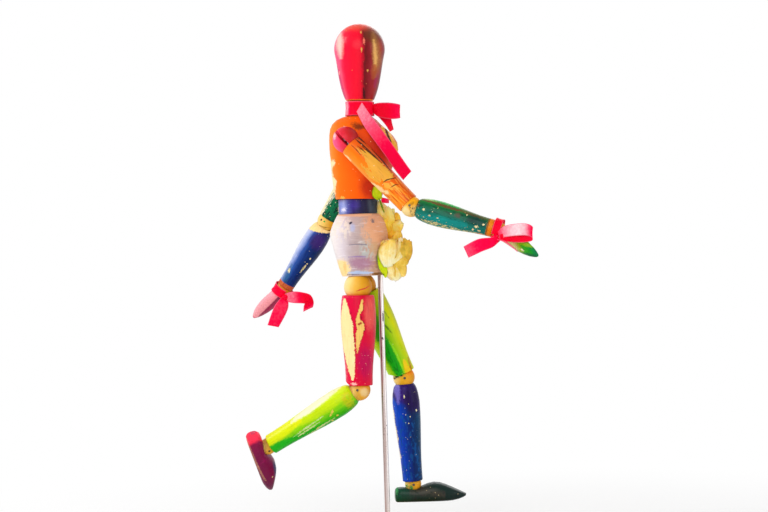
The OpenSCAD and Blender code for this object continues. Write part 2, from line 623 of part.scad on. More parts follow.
module right_wrist_ribbon() {
    r = wrist_ball_d / 2 + 1.7;
    color("deeppink") multmatrix(forearm_m(right)) translate([0, 0, 53 - forearm_l]) {
        translate([0, 0, -53]) ribbon_band(r, 141, 4.6);
        translate([-6.5, 5.2, -53.7]) knot(1.9, 3.6);
        ribbon([[-7.4, 4, -55.4], [-10, 0.6, -58.4], [-12.4, -2.3, -65.6], [-12, -3.6, -70], [-11, -3.5, -73.6],
            [-10, -1.8, -74.4], [-9.9, 0, -71.4], [-10.3, 1.8, -65.3], [-8.6, 4.4, -56.8]],
            [[0, -4.6, 1.9], [-0.7, -6.2, 1.7], [-0.9, -6.6, 1.7], [-0.9, -6.6, 1.7], [-0.7, -6.4, 1.7],
            [0.4, -6.4, 1.7], [0.9, -6.4, 1.8], [0.5, -6.4, 1.8], [0, -3.6, 1.4]]);
        ribbon([[-7.2, 5.4, -55.6], [-8.8, 8.4, -52.8], [-11, 12, -46.9], [-12.5, 17.9, -40.5]],
            [[0, -3.6, 1.3], [-0.2, -5.2, 2.4], [-0.8, -6.3, 4], [-0.7, -5.4, 4.5]]);
        ribbon([[-7.8, 5.6, -55.2], [-9.8, 6.2, -61], [-10.4, 9.6, -68.6]], [[-3.2, 0.9, -0.5], [-4.2, 1, -0.7],
            [-4.2, 0.8, -1.1]]);
    }
}

module left_wrist_ribbon() {
    r = wrist_ball_d / 2 + 1.3;
    color("deeppink") multmatrix(forearm_m(left)) translate([0, 0, 53 - forearm_l]) {
        translate([0, 0, -53.9]) ribbon_band(r, -115, 5.6);
        translate([-3.4, -7.2, -54.8]) knot(1.9, 4.8);
        ribbon([[-3.8, -7.8, -55], [-5.4, -10.2, -58.9], [-6.8, -12.4, -63.8], [-8.4, -15.3, -71.4]],
            [[-3.2, 3, -0.9], [-5.4, 5.4, -2.6], [-5.6, 5.8, -2.4], [-4.6, 4.6, -2.5]]);
        ribbon([[-3.4, -8, -54], [-2.1, -11.8, -50.6], [0.5, -15.4, -47.9], [2.8, -18, -46.9], [4.2, -19.6, -48.9],
            [5.3, -20.8, -52.3]],
            [[-1.4, 3.6, 3.6], [-1, 4.7, 5.3], [-1, 4.5, 5.3], [1.7, 1.7, 6.2], [4.1, -1.3, 5.3], [4.1, -1.2, 5]]);
    }
}

// Petal: a cupped blade along +Y, its root at the origin, open towards +Z
petal_rows = 7;
petal_cols = 6;
function petal_at(u, v, l, w, cup) = let (half = w / 2 * pow(sin(180 * (0.07 + 0.85 * pow(u, 1.15))), 0.6))
    [half * v, l * u - l * 0.06 * v * v * u, cup * l * (u * u * 0.9 - 0.5 * u) + cup * w * 0.45 * v * v * u];
module petal(l, w, cup) {
    grid = [for (s = [0, 1], i = [0:petal_rows], j = [0:petal_cols])
        petal_at(i / petal_rows, 2 * j / petal_cols - 1, l, w, cup) + [0, 0, s * petal_t]];
    row = petal_cols + 1;
    sheet = (petal_rows + 1) * row;
    rim = concat([for (j = [0:petal_cols]) j], [for (i = [1:petal_rows]) i * row + petal_cols],
        [for (j = [petal_cols - 1:-1:0]) petal_rows * row + j], [for (i = [petal_rows - 1:-1:1]) i * row]);
    polyhedron(grid, concat(
        [for (i = [0:petal_rows - 1], j = [0:petal_cols - 1]) let (k = i * row + j)
            each [[k, k + 1, k + row + 1], [k, k + row + 1, k + row],
            [sheet + k + row + 1, sheet + k + 1, sheet + k], [sheet + k + row, sheet + k + row + 1, sheet + k]]],
        [for (i = [0:len(rim) - 1]) let (a = rim[i], b = rim[(i + 1) % len(rim)])
            each [[b, a, sheet + a], [b, sheet + a, sheet + b]]]), convexity = 4);
}

// Petal from one point to another, open towards the given side
module petal_to(a, b, open, w, cup = 0.4) {
    y = unit(b - a);
    x = unit(cross(y, open));
    z = cross(x, y);
    size = petal_l / 16;
    multmatrix([[x[0], y[0], z[0], a[0]], [x[1], y[1], z[1], a[1]], [x[2], y[2], z[2], a[2]], [0, 0, 0, 1]])
        petal(norm(b - a) * size, w * size, cup);
}

// Blossom with its heart at a point, facing along an axis; petals as [angle round the axis from
// the figure's right, tilt away from the axis, length, width]
module blossom(heart, axis, petals, r) {
    d = unit(axis);
    near = unit(cross(d, [0, 0, 1]));
    up = cross(near, d);
    translate(heart) sphere(r = r, $fn = 20);
    for (p = petals) let (out = up * sin(p[0]) + near * cos(p[0]), way = d * cos(p[1]) + out * sin(p[1]))
        petal_to(heart + way * r * 0.5, heart + way * p[2], d * sin(p[1]) - out * cos(p[1]), p[3]);
}

module upper_blossom() {
    color("khaki") multmatrix(pelvis_m()) blossom([3.4, -21.8, 20.6], [-0.1, 0, 1],
        [[-96, 14, 14, 8], [-140, 12, 18, 8.5], [96, 6, 21, 8], [176, 20, 18, 9], [136, 12, 16, 8]], 1.6);
}

module lower_blossom() {
    color("gold") multmatrix(pelvis_m()) blossom([-16, -17.2, 8], [-0.42, -0.9, 0.02],
        [[84, 94, 12, 11], [102, 64, 16.5, 13], [128, 48, 16.5, 16], [60, 42, 14, 13], [-30, 64, 12, 12],
        [-88, 68, 13.5, 16], [-136, 46, 13.5, 15], [14, 20, 11, 11]], 2);
}

// Green stem up the front of the pelvis, with a leaf at its top and a long sepal below
module flower_sprig() {
    color("yellowgreen") multmatrix(pelvis_m()) {
        ribbon([[-9.4, -13.4, pelvis_h + 9], [-6.8, -14.4, pelvis_h + 5.4], [-4.4, -15.6, pelvis_h + 1.4],
            [-3.2, -17.4, pelvis_h - 4], [-3, -18.3, pelvis_h - 10], [-3.6, -18.4, 20], [-7, -17.6, 16], [-10.6, -16.6, 14], [-13.6, -15.5, 12.2]],
            [[1.2, 0, 0.6], [1.2, 0, 0.9], [1.2, 0, 0.6], [1.3, 0, 0], [1.3, 0, 0], [1.3, 0, 0], [0.8, 0, 1],
            [0.4, 0, 1.2], [0.2, 0.2, 1.2]], 3);
        petal_to([-8.8, -13.4, pelvis_h + 8.2], [-13.2, -11, pelvis_h + 16.2], [-1, -0.3, 0], 6.4, 0.2);
        petal_to([-13.3, -15.5, 12.9], [-14.4, -17, -2.6], [-1, -0.4, 0], 3.8, 0.1);
    }
}

module sprig_tie() {
    color("deeppink") multmatrix(pelvis_m()) {
        ribbon([[-7.8, -14.8, pelvis_h + 8], [-6, -15.5, pelvis_h + 7.7], [-5, -17, pelvis_h + 7.4],
            [-5.2, -18.8, pelvis_h + 7]],
            [[0, 0, 2.8], [0, 0, 3], [0, 0, 2.8], [0, 0, 2.2]]);
    }
}

base();
support_rod();
pelvis();
waist_piece();
chest();
neck_ball();
head();
pelvis_pin();
head_pin();
torso_spring();
shoulder_spring();
hip_spring(right);  // right_hip_spring
hip_spring(left);  // left_hip_spring
upper_arm_spring(right);  // right_upper_arm_spring
upper_arm_spring(left);  // left_upper_arm_spring
thigh_spring(right);  // right_thigh_spring
thigh_spring(left);  // left_thigh_spring
shoulder_ball(right);  // right_shoulder_ball
shoulder_ball(left);  // left_shoulder_ball
shoulder_pin(right);  // right_shoulder_pin
shoulder_pin(left);  // left_shoulder_pin
upper_arm(right);  // right_upper_arm
upper_arm(left);  // left_upper_arm
elbow_ball(right);  // right_elbow_ball
elbow_ball(left);  // left_elbow_ball
elbow_pin(right);  // right_elbow_pin
elbow_pin(left);  // left_elbow_pin
forearm(right);  // right_forearm
forearm(left);  // left_forearm
wrist_ball(right);  // right_wrist_ball
wrist_ball(left);  // left_wrist_ball
wrist_pin(right);  // right_wrist_pin
wrist_pin(left);  // left_wrist_pin
hand(right);  // right_hand
hand(left);  // left_hand
hip_ball(right);  // right_hip_ball
hip_ball(left);  // left_hip_ball
hip_pin(right);  // right_hip_pin
hip_pin(left);  // left_hip_pin
thigh(right);  // right_thigh
thigh(left);  // left_thigh
knee_ball(right);  // right_knee_ball
knee_ball(left);  // left_knee_ball
knee_pin(right);  // right_knee_pin
knee_pin(left);  // left_knee_pin
shin(right);  // right_shin
shin(left);  // left_shin
ankle_ball(right);  // right_ankle_ball
ankle_ball(left);  // left_ankle_ball
ankle_pin(right);  // right_ankle_pin
ankle_pin(left);  // left_ankle_pin
foot(right);  // right_foot
foot(left);  // left_foot
neck_ribbon();
right_wrist_ribbon();
left_wrist_ribbon();
flower_sprig();
sprig_tie();
upper_blossom();
lower_blossom();
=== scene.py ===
"""Dresses the jointed wooden manikin: painted wood, bare ball joints, satin bows and cloth flowers."""
import json
import math
import bmesh
import bpy
from mathutils import Matrix, Vector, noise


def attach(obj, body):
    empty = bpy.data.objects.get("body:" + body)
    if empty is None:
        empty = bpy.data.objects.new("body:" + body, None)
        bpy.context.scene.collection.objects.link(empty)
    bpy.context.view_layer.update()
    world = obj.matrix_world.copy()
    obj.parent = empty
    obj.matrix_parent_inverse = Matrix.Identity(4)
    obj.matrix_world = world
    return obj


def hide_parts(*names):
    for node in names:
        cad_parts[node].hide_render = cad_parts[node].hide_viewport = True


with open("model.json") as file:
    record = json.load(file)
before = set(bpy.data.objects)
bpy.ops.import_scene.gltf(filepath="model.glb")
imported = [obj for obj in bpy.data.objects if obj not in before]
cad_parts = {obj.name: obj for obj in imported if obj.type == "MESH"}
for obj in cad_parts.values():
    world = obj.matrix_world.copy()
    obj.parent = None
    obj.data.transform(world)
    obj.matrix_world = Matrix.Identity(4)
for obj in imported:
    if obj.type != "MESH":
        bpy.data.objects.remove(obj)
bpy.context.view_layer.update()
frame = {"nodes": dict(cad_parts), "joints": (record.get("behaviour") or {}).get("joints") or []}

MM, MM_PER_M = 0.001, 1000
RIBBON_WIDTH = 6.8       # mm, the ribbon tied at the neck and both wrists
DRAWN_WIDTH = 6.8        # mm, the ribbon that the widths in the bows below are written for
CLOTH_THICK = 0.3        # mm, ribbon and petals
SHOULDERS_TO_ORIGIN = 0.0345         # m, down the spine to where the chest's own measurements start
PELVIS_ORIGIN = (0, 0.0117, 0.164)   # m, where the pelvis's and the flowers' measurements start

# Where the pieces are
joints = {j["name"]: j for j in frame["joints"]}


def joint(name):
    return Vector(joints[name]["pos_m"])


def hinge_line(name):
    return Vector(joints[name]["axis"]).normalized()


def place(origin, x, z):
    """A piece's own axes: x and z are given, y follows."""
    z = z.normalized()
    x = (x - x.dot(z) * z).normalized()
    return Matrix.Translation(origin) @ Matrix((x, z.cross(x), z)).transposed().to_4x4()


def forearm_place(side):
    elbow, wrist = joint(side + "_elbow_bend"), joint(side + "_wrist_bend")
    return place(elbow, hinge_line(side + "_elbow_bend"), elbow - wrist)


spine = hinge_line("neck_turn")
between_shoulders = (joint("right_shoulder_swing") + joint("left_shoulder_swing")) / 2
chest_place = place(between_shoulders - SHOULDERS_TO_ORIGIN * spine, hinge_line("head_nod"), spine)
pelvis_place = Matrix.Translation(PELVIS_ORIGIN)
down, front, near_side = Vector((0, 0, -1)), Vector((0, -1, 0)), Vector((-1, 0, 0))


def limb_lines(top, bottom):
    """Directions down a limb, across it towards the figure's front, and out of its near side."""
    up = (top - bottom).normalized()
    out = (near_side - near_side.dot(up) * up).normalized()
    return -up, up.cross(out), out


def fingertip(side):
    wrist = joint(side + "_wrist_bend")
    hand = frame["nodes"][side + "_hand"].data
    return max((vertex.co for vertex in hand.vertices), key=lambda at: (at - wrist).length)


def sole_up(side):
    """The direction square to a foot's sole, from its flat underside."""
    sole = max(frame["nodes"][side + "_foot"].data.polygons, key=lambda face: face.area)
    square = Vector(sole.normal)
    return square if (joint(side + "_ankle_bend") - Vector(sole.center)).dot(square) > 0 else -square


def points(text):
    """Points written as 'a b c, a b c', in numbers."""
    return [tuple(float(number) for number in point.split()) for point in text.split(",")]


# Finishes
def paint(text):
    """A colour written as it looks, in the light's own scale."""
    parts = [int(text[i:i + 2], 16) / 255 for i in (0, 2, 4)]
    return tuple(c / 12.92 if c <= 0.04045 else ((c + 0.055) / 1.055) ** 2.4 for c in parts) + (1.0,)


def sign(operation, swapped=False):
    """What one of Python's signs does on a Value: adds its Math node."""
    def add_node(self, other):
        a, b = (other, self) if swapped else (self, other)
        return self.nodes.node("Math", {"operation": operation}, {0: a, 1: b})
    return add_node


class Value:
    """One socket. Python's signs on it make Math nodes; & keeps the smaller, | the larger."""

    def __init__(self, nodes, socket):
        self.nodes, self.socket = nodes, socket

    def other(self, output):
        """Another output of the same node."""
        return Value(self.nodes, self.socket.node.outputs[output])

    __add__, __radd__ = sign("ADD"), sign("ADD", True)
    __sub__, __rsub__ = sign("SUBTRACT"), sign("SUBTRACT", True)
    __mul__, __rmul__ = sign("MULTIPLY"), sign("MULTIPLY", True)
    __and__ = __rand__ = sign("MINIMUM")
    __or__ = __ror__ = sign("MAXIMUM")


class Nodes:
    """The node tree of one finish, of the floor or of the background."""

    def __init__(self, tree):
        self.tree = tree
        tree.nodes.clear()

    def node(self, kind, settings=None, inputs=None, out=0):
        """Adds a node of the kind, with its settings, then its inputs' values or links; gives one output."""
        n = self.tree.nodes.new("ShaderNode" + kind)
        for key, value in (settings or {}).items():
            if key == "stops":
                ramp = n.color_ramp.elements
                for position, colour in value[1:-1]:
                    ramp.new(position).color = colour
                for end, (position, colour) in ((0, value[0]), (-1, value[-1])):
                    ramp[end].position, ramp[end].color = position, colour
            else:
                setattr(n, key, value)
        for key, value in (inputs or {}).items():
            if isinstance(value, Value):
                self.tree.links.new(value.socket, n.inputs[key])
            else:
                n.inputs[key].default_value = value
        return Value(self, n.outputs[out]) if len(n.outputs) else None

    def size_of(self, value):
        """A value without its sign."""
        return self.node("Math", {"operation": "ABSOLUTE"}, {0: value})

    def soft(self, value, start, end):
        """0 at start, 1 at end, eased between them."""
        return self.node("MapRange", {"interpolation_type": "SMOOTHSTEP"},
                         {0: value, 1: start, 2: end, 3: 0.0, 4: 1.0})

    def background_rays(self):
        """1 for the rays that show the background: seen directly, in gloss or through glass."""
        camera = self.node("LightPath", out="Is Camera Ray")
        return camera | camera.other("Is Glossy Ray") | camera.other("Is Transmission Ray")


class Finish(Nodes):
    """A procedural finish, laid out in millimetres down, across and out of the piece it is for."""

    NO_PAINT = -1.5      # half width of a stroke where it has ended
    END_STEP = 0.02      # mm, the length in which a stroke ends
    THROUGH = 1e5        # mm, a spot reaches right through the piece
    SMALL = 1.6          # mm, a spot under this size takes the fine edge
    SPAN = 100           # mm across that a stroke's ramp can hold, half of it to each side
    HALF_SPAN = 12       # mm, the same for its half widths, which start at
    HALF_BELOW = 2       # mm below nothing

    def __init__(self, name, top, lines, seed=0.0):
        self.material = bpy.data.materials.new(name)
        self.material.use_nodes = True
        super().__init__(self.material.node_tree)
        self.seed = seed
        here = self.node("VectorMath", {"operation": "SUBTRACT"},
                         {0: self.node("TexCoord", out="Object"), 1: tuple(top)})
        self.down, self.across, self.out = [
            self.node("VectorMath", {"operation": "DOT_PRODUCT"}, {0: here, 1: tuple(line * MM_PER_M)},
                      out="Value")
            for line in lines]
        self.flat = self.node("CombineXYZ", {}, {0: self.down, 1: self.across, 2: self.out})
        self.rough_edge = self.grain(1.4, detail=5.0, roughness=0.68)
        self.fine_edge = self.grain(0.55, detail=3.0, shift=43.0, roughness=0.6)
        self.wobble = self.grain(5.0, detail=2.0, shift=31.0)
        self.near = self.soft(self.out + self.wobble * 7 + self.rough_edge * 4, -4.5, -3.5)

    def grain(self, size, stretch=(1, 1, 1), detail=3.0, shift=0.0, roughness=0.55):
        """Uneven shade from -1 to 1 with marks about size mm wide, drawn out by stretch."""
        at = self.node("VectorMath", {"operation": "MULTIPLY_ADD"},
                       {0: self.flat, 1: [1 / (size * k) for k in stretch],
                        2: (self.seed + shift, shift * 0.7, self.seed)})
        value = self.node("TexNoise", {},
                          {"Vector": at, "Scale": 1.0, "Detail": detail, "Roughness": roughness})
        return value * 2 - 1

    def over(self, under, colour, mask, blend="MIX"):
        """Colour laid over what is under it, where the mask is."""
        colour = paint(colour) if isinstance(colour, str) else colour
        return self.node("Mix", {"data_type": "RGBA", "blend_type": blend},
                         {0: mask, 6: under, 7: colour}, out=2)

    def lay(self, base, *laid):
        """Lays spots and strokes, each (colour, mask), over the base."""
        for colour, mask in laid:
            base = self.over(base, colour, mask)
        return base

    def shades(self, value, text):
        """Colours run into each other along a value, written as 'value colour, value colour'."""
        stops = [stop.split() for stop in text.split(",")]
        low, high = float(stops[0][0]), float(stops[-1][0])
        place_in = self.node("MapRange", {}, {0: value, 1: low, 2: high, 3: 0.0, 4: 1.0})
        ramp = [((float(at) - low) / (high - low), paint(colour)) for at, colour in stops]
        return self.node("ValToRGB", {"stops": ramp}, {0: place_in})

    def spot(self, marks, edge=0.18, ragged=0.3, both=False):
        """Spots of paint, each 'down across long wide' and a turn; on the near side only, unless both."""
        total = None
        for down_at, across_at, long, wide, *turn in points(marks):
            at = self.node("Mapping", {"vector_type": "TEXTURE"},
                           {"Vector": self.flat, "Location": (down_at, across_at, 0),
                            "Rotation": (0, 0, math.radians(turn[0] if turn else 0)),
                            "Scale": (long, wide, self.THROUGH)})
            reach = self.node("VectorMath", {"operation": "LENGTH"}, {0: at}, out="Value")
            small = min(long, wide) < self.SMALL
            chip = self.fine_edge * (ragged * 5) if small else self.rough_edge * ragged
            one = self.soft(reach + chip, 1 + edge, 1 - edge)
            total = one if total is None else total | one
        return total if both else total * self.near

    def stroke(self, lines, edge=0.25, ragged=0.5, sideways=False, both=False):
        """Brush strokes down the piece, parted by ';', through points of 'down across half_width'.

        Sideways swaps down and across. A ramp carries the place across in red and the half width in green.
        """
        along, aside = (self.across, self.down) if sideways else (self.down, self.across)
        chip = self.rough_edge * ragged + self.fine_edge * (ragged * 0.35)
        total = None
        for line in lines.split(";"):
            first, *inner, last = points(line)
            low, high = first[0], last[0]
            marks = [(low, first[1], self.NO_PAINT), (low + self.END_STEP, *first[1:]), *inner,
                     (high - self.END_STEP, *last[1:]), (high, last[1], self.NO_PAINT)]
            place_in = self.node("MapRange", {},
                                 {0: along + self.wobble * 0.5, 1: low, 2: high, 3: 0.0, 4: 1.0})
            ramp = self.node("ValToRGB", {"stops": [
                ((at - low) / (high - low),
                 ((middle + self.SPAN / 2) / self.SPAN, (half + self.HALF_BELOW) / self.HALF_SPAN, 0, 1))
                for at, middle, half in marks]}, {0: place_in})
            middle = self.node("SeparateColor", {}, {0: ramp})
            half = middle.other(1) * self.HALF_SPAN - self.HALF_BELOW
            off_middle = self.size_of(aside - (middle * self.SPAN - self.SPAN / 2))
            one = self.soft(half - off_middle + chip, -edge, edge)
            total = one if total is None else total | one
        return total if both else total * self.near

    def broken(self, mask, size=1.0, level=0.0, shift=66.0):
        """The mask, broken up into scraps about size mm wide."""
        return mask * self.soft(self.grain(size, (2, 1, 1), detail=4.0, shift=shift), level, level + 0.1)

    def flecks(self, size, share, shift=0.0):
        """Small scattered flecks about size mm across, on a share of the places."""
        apart = size * 3.2
        at = self.node("VectorMath", {"operation": "MULTIPLY_ADD"},
                       {0: self.flat, 1: (1 / apart,) * 3, 2: (shift, self.seed, shift)})
        cells = self.node("TexVoronoi", {}, {"Vector": at, "Scale": 1.0, "Randomness": 1.0})
        chance = self.node("SeparateColor", {}, {0: cells.other("Color")})
        return (self.soft(cells + self.fine_edge * 0.16, 0.19, 0.13)
                * self.node("Math", {"operation": "LESS_THAN"}, {0: chance, 1: share}))

    def done(self, colour, roughness=0.4, height=None, depth=0.1, more=None):
        """Joins colour, roughness and relief, depth mm deep, to the shader; the rest are constants."""
        inputs = {"Base Color": colour, "Roughness": roughness, "Specular IOR Level": 0.08, **(more or {})}
        if height is not None:
            relief = {"Height": height, "Strength": 1.0, "Distance": depth * MM}
            inputs["Normal"] = self.node("Bump", {}, relief, out="Normal")
        self.node("OutputMaterial", {}, {0: self.node("BsdfPrincipled", {}, inputs)})
        return self.material


def painted(f, colour, amount=0.6, chips=None, lengthways=True, gloss=0.36, coat=0.06):
    """Satin paint with brush marks drawn along the piece, dull where it is chipped to the wood."""
    marks = f.grain(0.9, (9, 1, 1) if lengthways else (1, 9, 9), detail=4.0, shift=3.0, roughness=0.62)
    blotches = f.grain(5.0, (1.6, 1, 1), shift=8.0)
    tone = marks * (0.9 * amount) + blotches * (0.5 * amount)
    colour = f.over(colour, colour, f.soft(tone, 0.02, 0.5) * 0.7, blend="SCREEN")
    thick_paint = (0.50, 0.42, 0.44, 1)
    colour = f.over(colour, thick_paint, f.soft(tone, -0.02, -0.6), blend="MULTIPLY")
    roughness = gloss + f.grain(3.0, shift=17.0) * 0.08
    height = f.grain(0.5, (3, 1, 1), detail=2.0, shift=5.0) * 0.25 + marks * 0.6
    if chips is not None:
        roughness, height = roughness + chips * 0.22, height - chips * 1.2
    return f.done(colour, roughness & 0.95, height, 0.09, {"Coat Weight": coat, "Coat Roughness": 0.18})


def dress(piece, material):
    """Gives a named piece of the frame, or a shaped copy, its finish."""
    mesh = frame["nodes"][piece].data if isinstance(piece, str) else piece.data
    mesh.materials.clear()
    mesh.materials.append(material)


# The painted pieces
def paint_head():
    f = Finish("head_crimson_paint", joint("head_nod"), (-spine, front, near_side), 1.3)
    angle = f.node("Math", {"operation": "ARCTAN2"}, {0: f.across, 1: f.out}) * math.degrees(1)
    # The paler pink stops from -66 to -52 degrees are partly the head's paint and partly a painted glow
    # around the highlight laid below.
    base = f.shades(angle + f.wobble * 5 + f.rough_edge * 3 + f.fine_edge,
        "-180 a00020, -105 b00c3c, -84 e01c68, -66 f03870, -52 f85070, -42 fa2850, -33 fc0438, -8 fa002c, "
        "10 ea002a, 16 b80020, 21 66040e, 27 780814, 38 8e1420, 62 a22422, 82 7a0e1e, 120 98041f, 180 a00020")
    worn = f.flecks(0.5, 0.06)
    base = f.lay(base,
        ("e84830", f.soft(f.down + f.wobble * 1.5 + f.rough_edge, -44.5, -48.5) * 0.8),
        ("f0487c", f.stroke("-47 -10.4 .6, -42 -11.4 2.4, -30 -11.2 2.2, -24 -10.8 .6", 1.4, 0.9) * 0.6),
        # Painted highlight: this pale streak stands in for the gloss highlight of the key light.
        ("ffd6c4",
            f.stroke("-45.5 -9.6 .5, -42 -10 1.9, -37 -10 2.1, -32 -9.6 1.2, -29 -9.4 .2", 1.7, 1.2) * 0.8),
        ("c0105c", f.stroke("-26 -12.6 .4, -18 -11.2 1.3, -9 -9 .9, -6 -8.2 .3", 0.8, 0.9) * 0.7),
        ("9a1c58", f.stroke("-24 12 .3, -18 11 1, -12 9.8 .3", 0.7, 0.9) * 0.6),
        ("5e3412", f.spot("-43.8 10.2 5.2 4.6 20", 0.5) * 0.7),
        ("a8743a", f.stroke("-46 10 .3, -38 11.8 2, -28 12.2 2.2, -18 10.4 .3", 1.6, 1.2) * 0.7),
        ("e8b060",
            f.stroke("-41 10.6 .3, -36 11.3 .8, -30 11.4 1.1, -26 11 .7, -22 10.4 .2", 0.9, 1.2) * 0.85),
        ("a8481e", f.stroke("-26 10.6 .8, -22 10.2 1.8, -17 9.4 .6", 0.9, 0.9) * 0.8),
        ("dca04a", f.spot("-44.9 3.3 .8 .5, -34.3 3.6 1.3 .4, -22.1 6.6 .7 .5")),
        ("e8705a", f.spot("-39.4 5.2 2 .6")),
        ("ff8a86", f.spot("-21.3 -11 1 .5")),
        ("40020a", f.spot("-8.6 3.7 3.4 .6")),
        ("ff8a2a", f.soft(f.down + f.rough_edge * 0.3, -5.6, -5.1)),
        ("d9934a", worn * 0.8))
    dress("head", painted(f, base, 0.3, worn, gloss=0.34, coat=0.16))


def paint_chest(piece):
    f = Finish("chest_orange_paint", chest_place.translation, (-spine, front, near_side), 2.1)
    # Lighter orange towards the back and deeper red towards the front: partly the paint, partly painted light
    # on the back side and painted shade on the front.
    base = f.shades(f.across + f.wobble * 0.8,
        "-20 ffa44a, -15 fd8a32, -10 fb7010, 0 f86004, 6 ee500e, 11 d23c1c, 17 c0341a, 22 d05a1c")
    cracks = f.stroke("-43 17 .2, -39.6 18.6 .6, -34.7 20.9 .5, -31 22.2 .1; -38 17.2 .1, -34 19.4 .4, "
        "-29 21.2 .1", 0.2, 0.4, both=True)
    # Cream along the back edge: bare wood chips, and at the top also a painted highlight line.
    bare = (f.stroke("-46 -16.8 .5, -40 -17.6 .4, -34 -17.4 .2, -27 -16.4 .3, -23 -15.7 1, -20.6 -15 1.3, "
        "-17 -14.8 .3, -13 -14.4 .7, -10.4 -13.8 2.2, -8 -13.6 1.2, -4 -13.6 .5, -2 -13.4 .2", 0.3, 1.3)
        | f.spot("-21.5 -13.4 1.8 1.2"))
    back = f.soft(f.grain(7.0, detail=5.0, shift=40.0), 0.32, 0.4) * (1 - f.near) * f.soft(f.across, 8, 4)
    worn = f.flecks(0.5, 0.08)
    base = f.lay(base,
        # Painted shadow: darker red where the arm shades the lower front of the chest.
        ("b8260f", f.spot("-6.6 8.5 6 5.5", 0.5) * 0.8),
        # Painted shadow: dark brown under the shoulder ball, along the top of the arm.
        ("5e2810", f.spot("-41.4 5.2 2.2 6.8 -24", 0.5, 0.8) * 0.85),
        ("5c4a1e", f.spot("-41.6 8.4 1.8 2.6", 0.5) * 0.6),
        # Painted highlight: an orange patch below that painted shadow.
        ("ea4c0c", f.spot("-38 5.6 3.4 4.2 30", 0.35, 0.6)),
        ("eca41c", f.stroke("-44 15.6 .5, -40 17.6 2.4, -33 20.6 3.4, -27 22 3, -22 22 .6", 0.4, 1.2,
            both=True) * f.soft(f.out + f.wobble * 6 + f.rough_edge * 4, -6, -5)),
        ("7a2c10", f.broken(f.stroke("-44 13.4 .6, -38 16 1.4, -31 19.4 .8", 0.4, 0.9)) * 0.8),
        ("ffe0ac", bare),
        ("f2c277", back),
        ("ffd79a", worn * 0.8),
        ("efb04a", f.spot("-.6 -8.4 .9 1.4")),
        ("4a2010", cracks))
    dress(piece, painted(f, base, 0.28, bare | cracks | worn | back, gloss=0.5, coat=0.0))


def paint_pelvis(piece):
    f = Finish("pelvis_lilac_white_paint", pelvis_place.translation, (down, front, near_side), 3.7)
    # Pale at the back edge, darker through the middle and peach-brown at the front: partly the paint, partly
    # painted light on the back and painted shade on the front.
    base = f.shades(f.across + f.wobble * 1.4 + f.rough_edge * 1.2,
        "-19 f6f0ea, -14 eee4e2, -8 d8cad0, -3 c0abac, 4 b69e96, 9 cca288, 14 e4a880, 19 e6ac82")
    drag = f.grain(1.1, (1, 8, 8), detail=4.0, shift=50.0)
    base = f.lay(base,
        ("f4f0f2", f.soft(drag, 0.1, 0.5) * 0.55),
        ("a59fac", f.soft(f.grain(1.3, (1, 7, 7), detail=4.0, shift=61.0), 0.22, 0.6) * 0.5),
        ("f0ac7c", f.broken(f.spot("-27 9 8 5.5", 0.5, 0.7), 2.0, -0.2) * 0.6),
        ("eddccb", f.broken(f.spot("-29 -9 7 6", 0.5, 0.7), 2.0, -0.1) * 0.7),
        ("b6c6c4", f.broken(f.spot("-14 6 6 4", 0.5, 0.7), 1.6, -0.1) * 0.6),
        ("ecb88c",
            f.stroke("-14 -36.4 .3, -8 -36.6 .8, 2 -36.3 1.1, 9 -36.4 .7", 0.5, 0.6, sideways=True) * 0.9),
        ("a4b2e0", f.spot("-28.7 -2 2.4 1.6", 0.5, 0.7) * 0.6),
        ("1c1838", f.spot("-31.5 -3.1 .6 1 30")),
        ("7c7688", f.stroke("-4.4 -18.5 .2, 0 -18.8 .3, 6.2 -18.4 .25", ragged=0.3, sideways=True) * 0.85),
        ("9078b0", f.stroke("-5.2 -11.4 .2, 0 -11.6 .4, 5.4 -11.3 .3", 0.3, 0.4, sideways=True) * 0.85),
        ("a86c90", f.spot("-7.6 2.8 3.6 7.2", 0.5, 0.8) * 0.7),
        ("c9a478", f.spot("-16.4 10.6 3.2 2.6", 0.5) * 0.6),
        ("666c6a", f.stroke("-14 13.2 .5, -10.9 12.6 1.8, -3 14.2 1.6, -1 14.4 .5", 0.9, 0.9) * 0.7),
        ("6e6872", f.spot("-32.4 9.8 1.4 .8 30") * 0.8),
        ("fedc98", f.spot("-4.4 -9.6 5.6 5.2 20", 0.3, 0.7)),
        ("f4be74", f.spot("-5.6 -7.4 3.2 1", 0.4) * 0.7),
        ("b4c8ea", f.stroke("-6 -1.9 .4, 0 -2.2 1, 6 -1.7 .8, 9.4 -1.8 .3", 0.4, 0.9, sideways=True) * 0.9),
        ("2c4a7a", f.stroke("-6.5 -1.2 .2, -3 -1 .3, 2 -1.1 .1", ragged=0.4, sideways=True) * 0.8),
        ("8a5820", f.stroke("8.5 -.9 .4, 12 -1 .9, 16 -1 .7", 0.4, sideways=True)),
        ("e2ab7c", f.soft(f.grain(8.0, (1, 2, 2), shift=70.0), 0.25, 0.6) * 0.6 * (1 - f.near)))
    dress(piece, painted(f, base, 0.5, lengthways=False, gloss=0.42, coat=0.04))


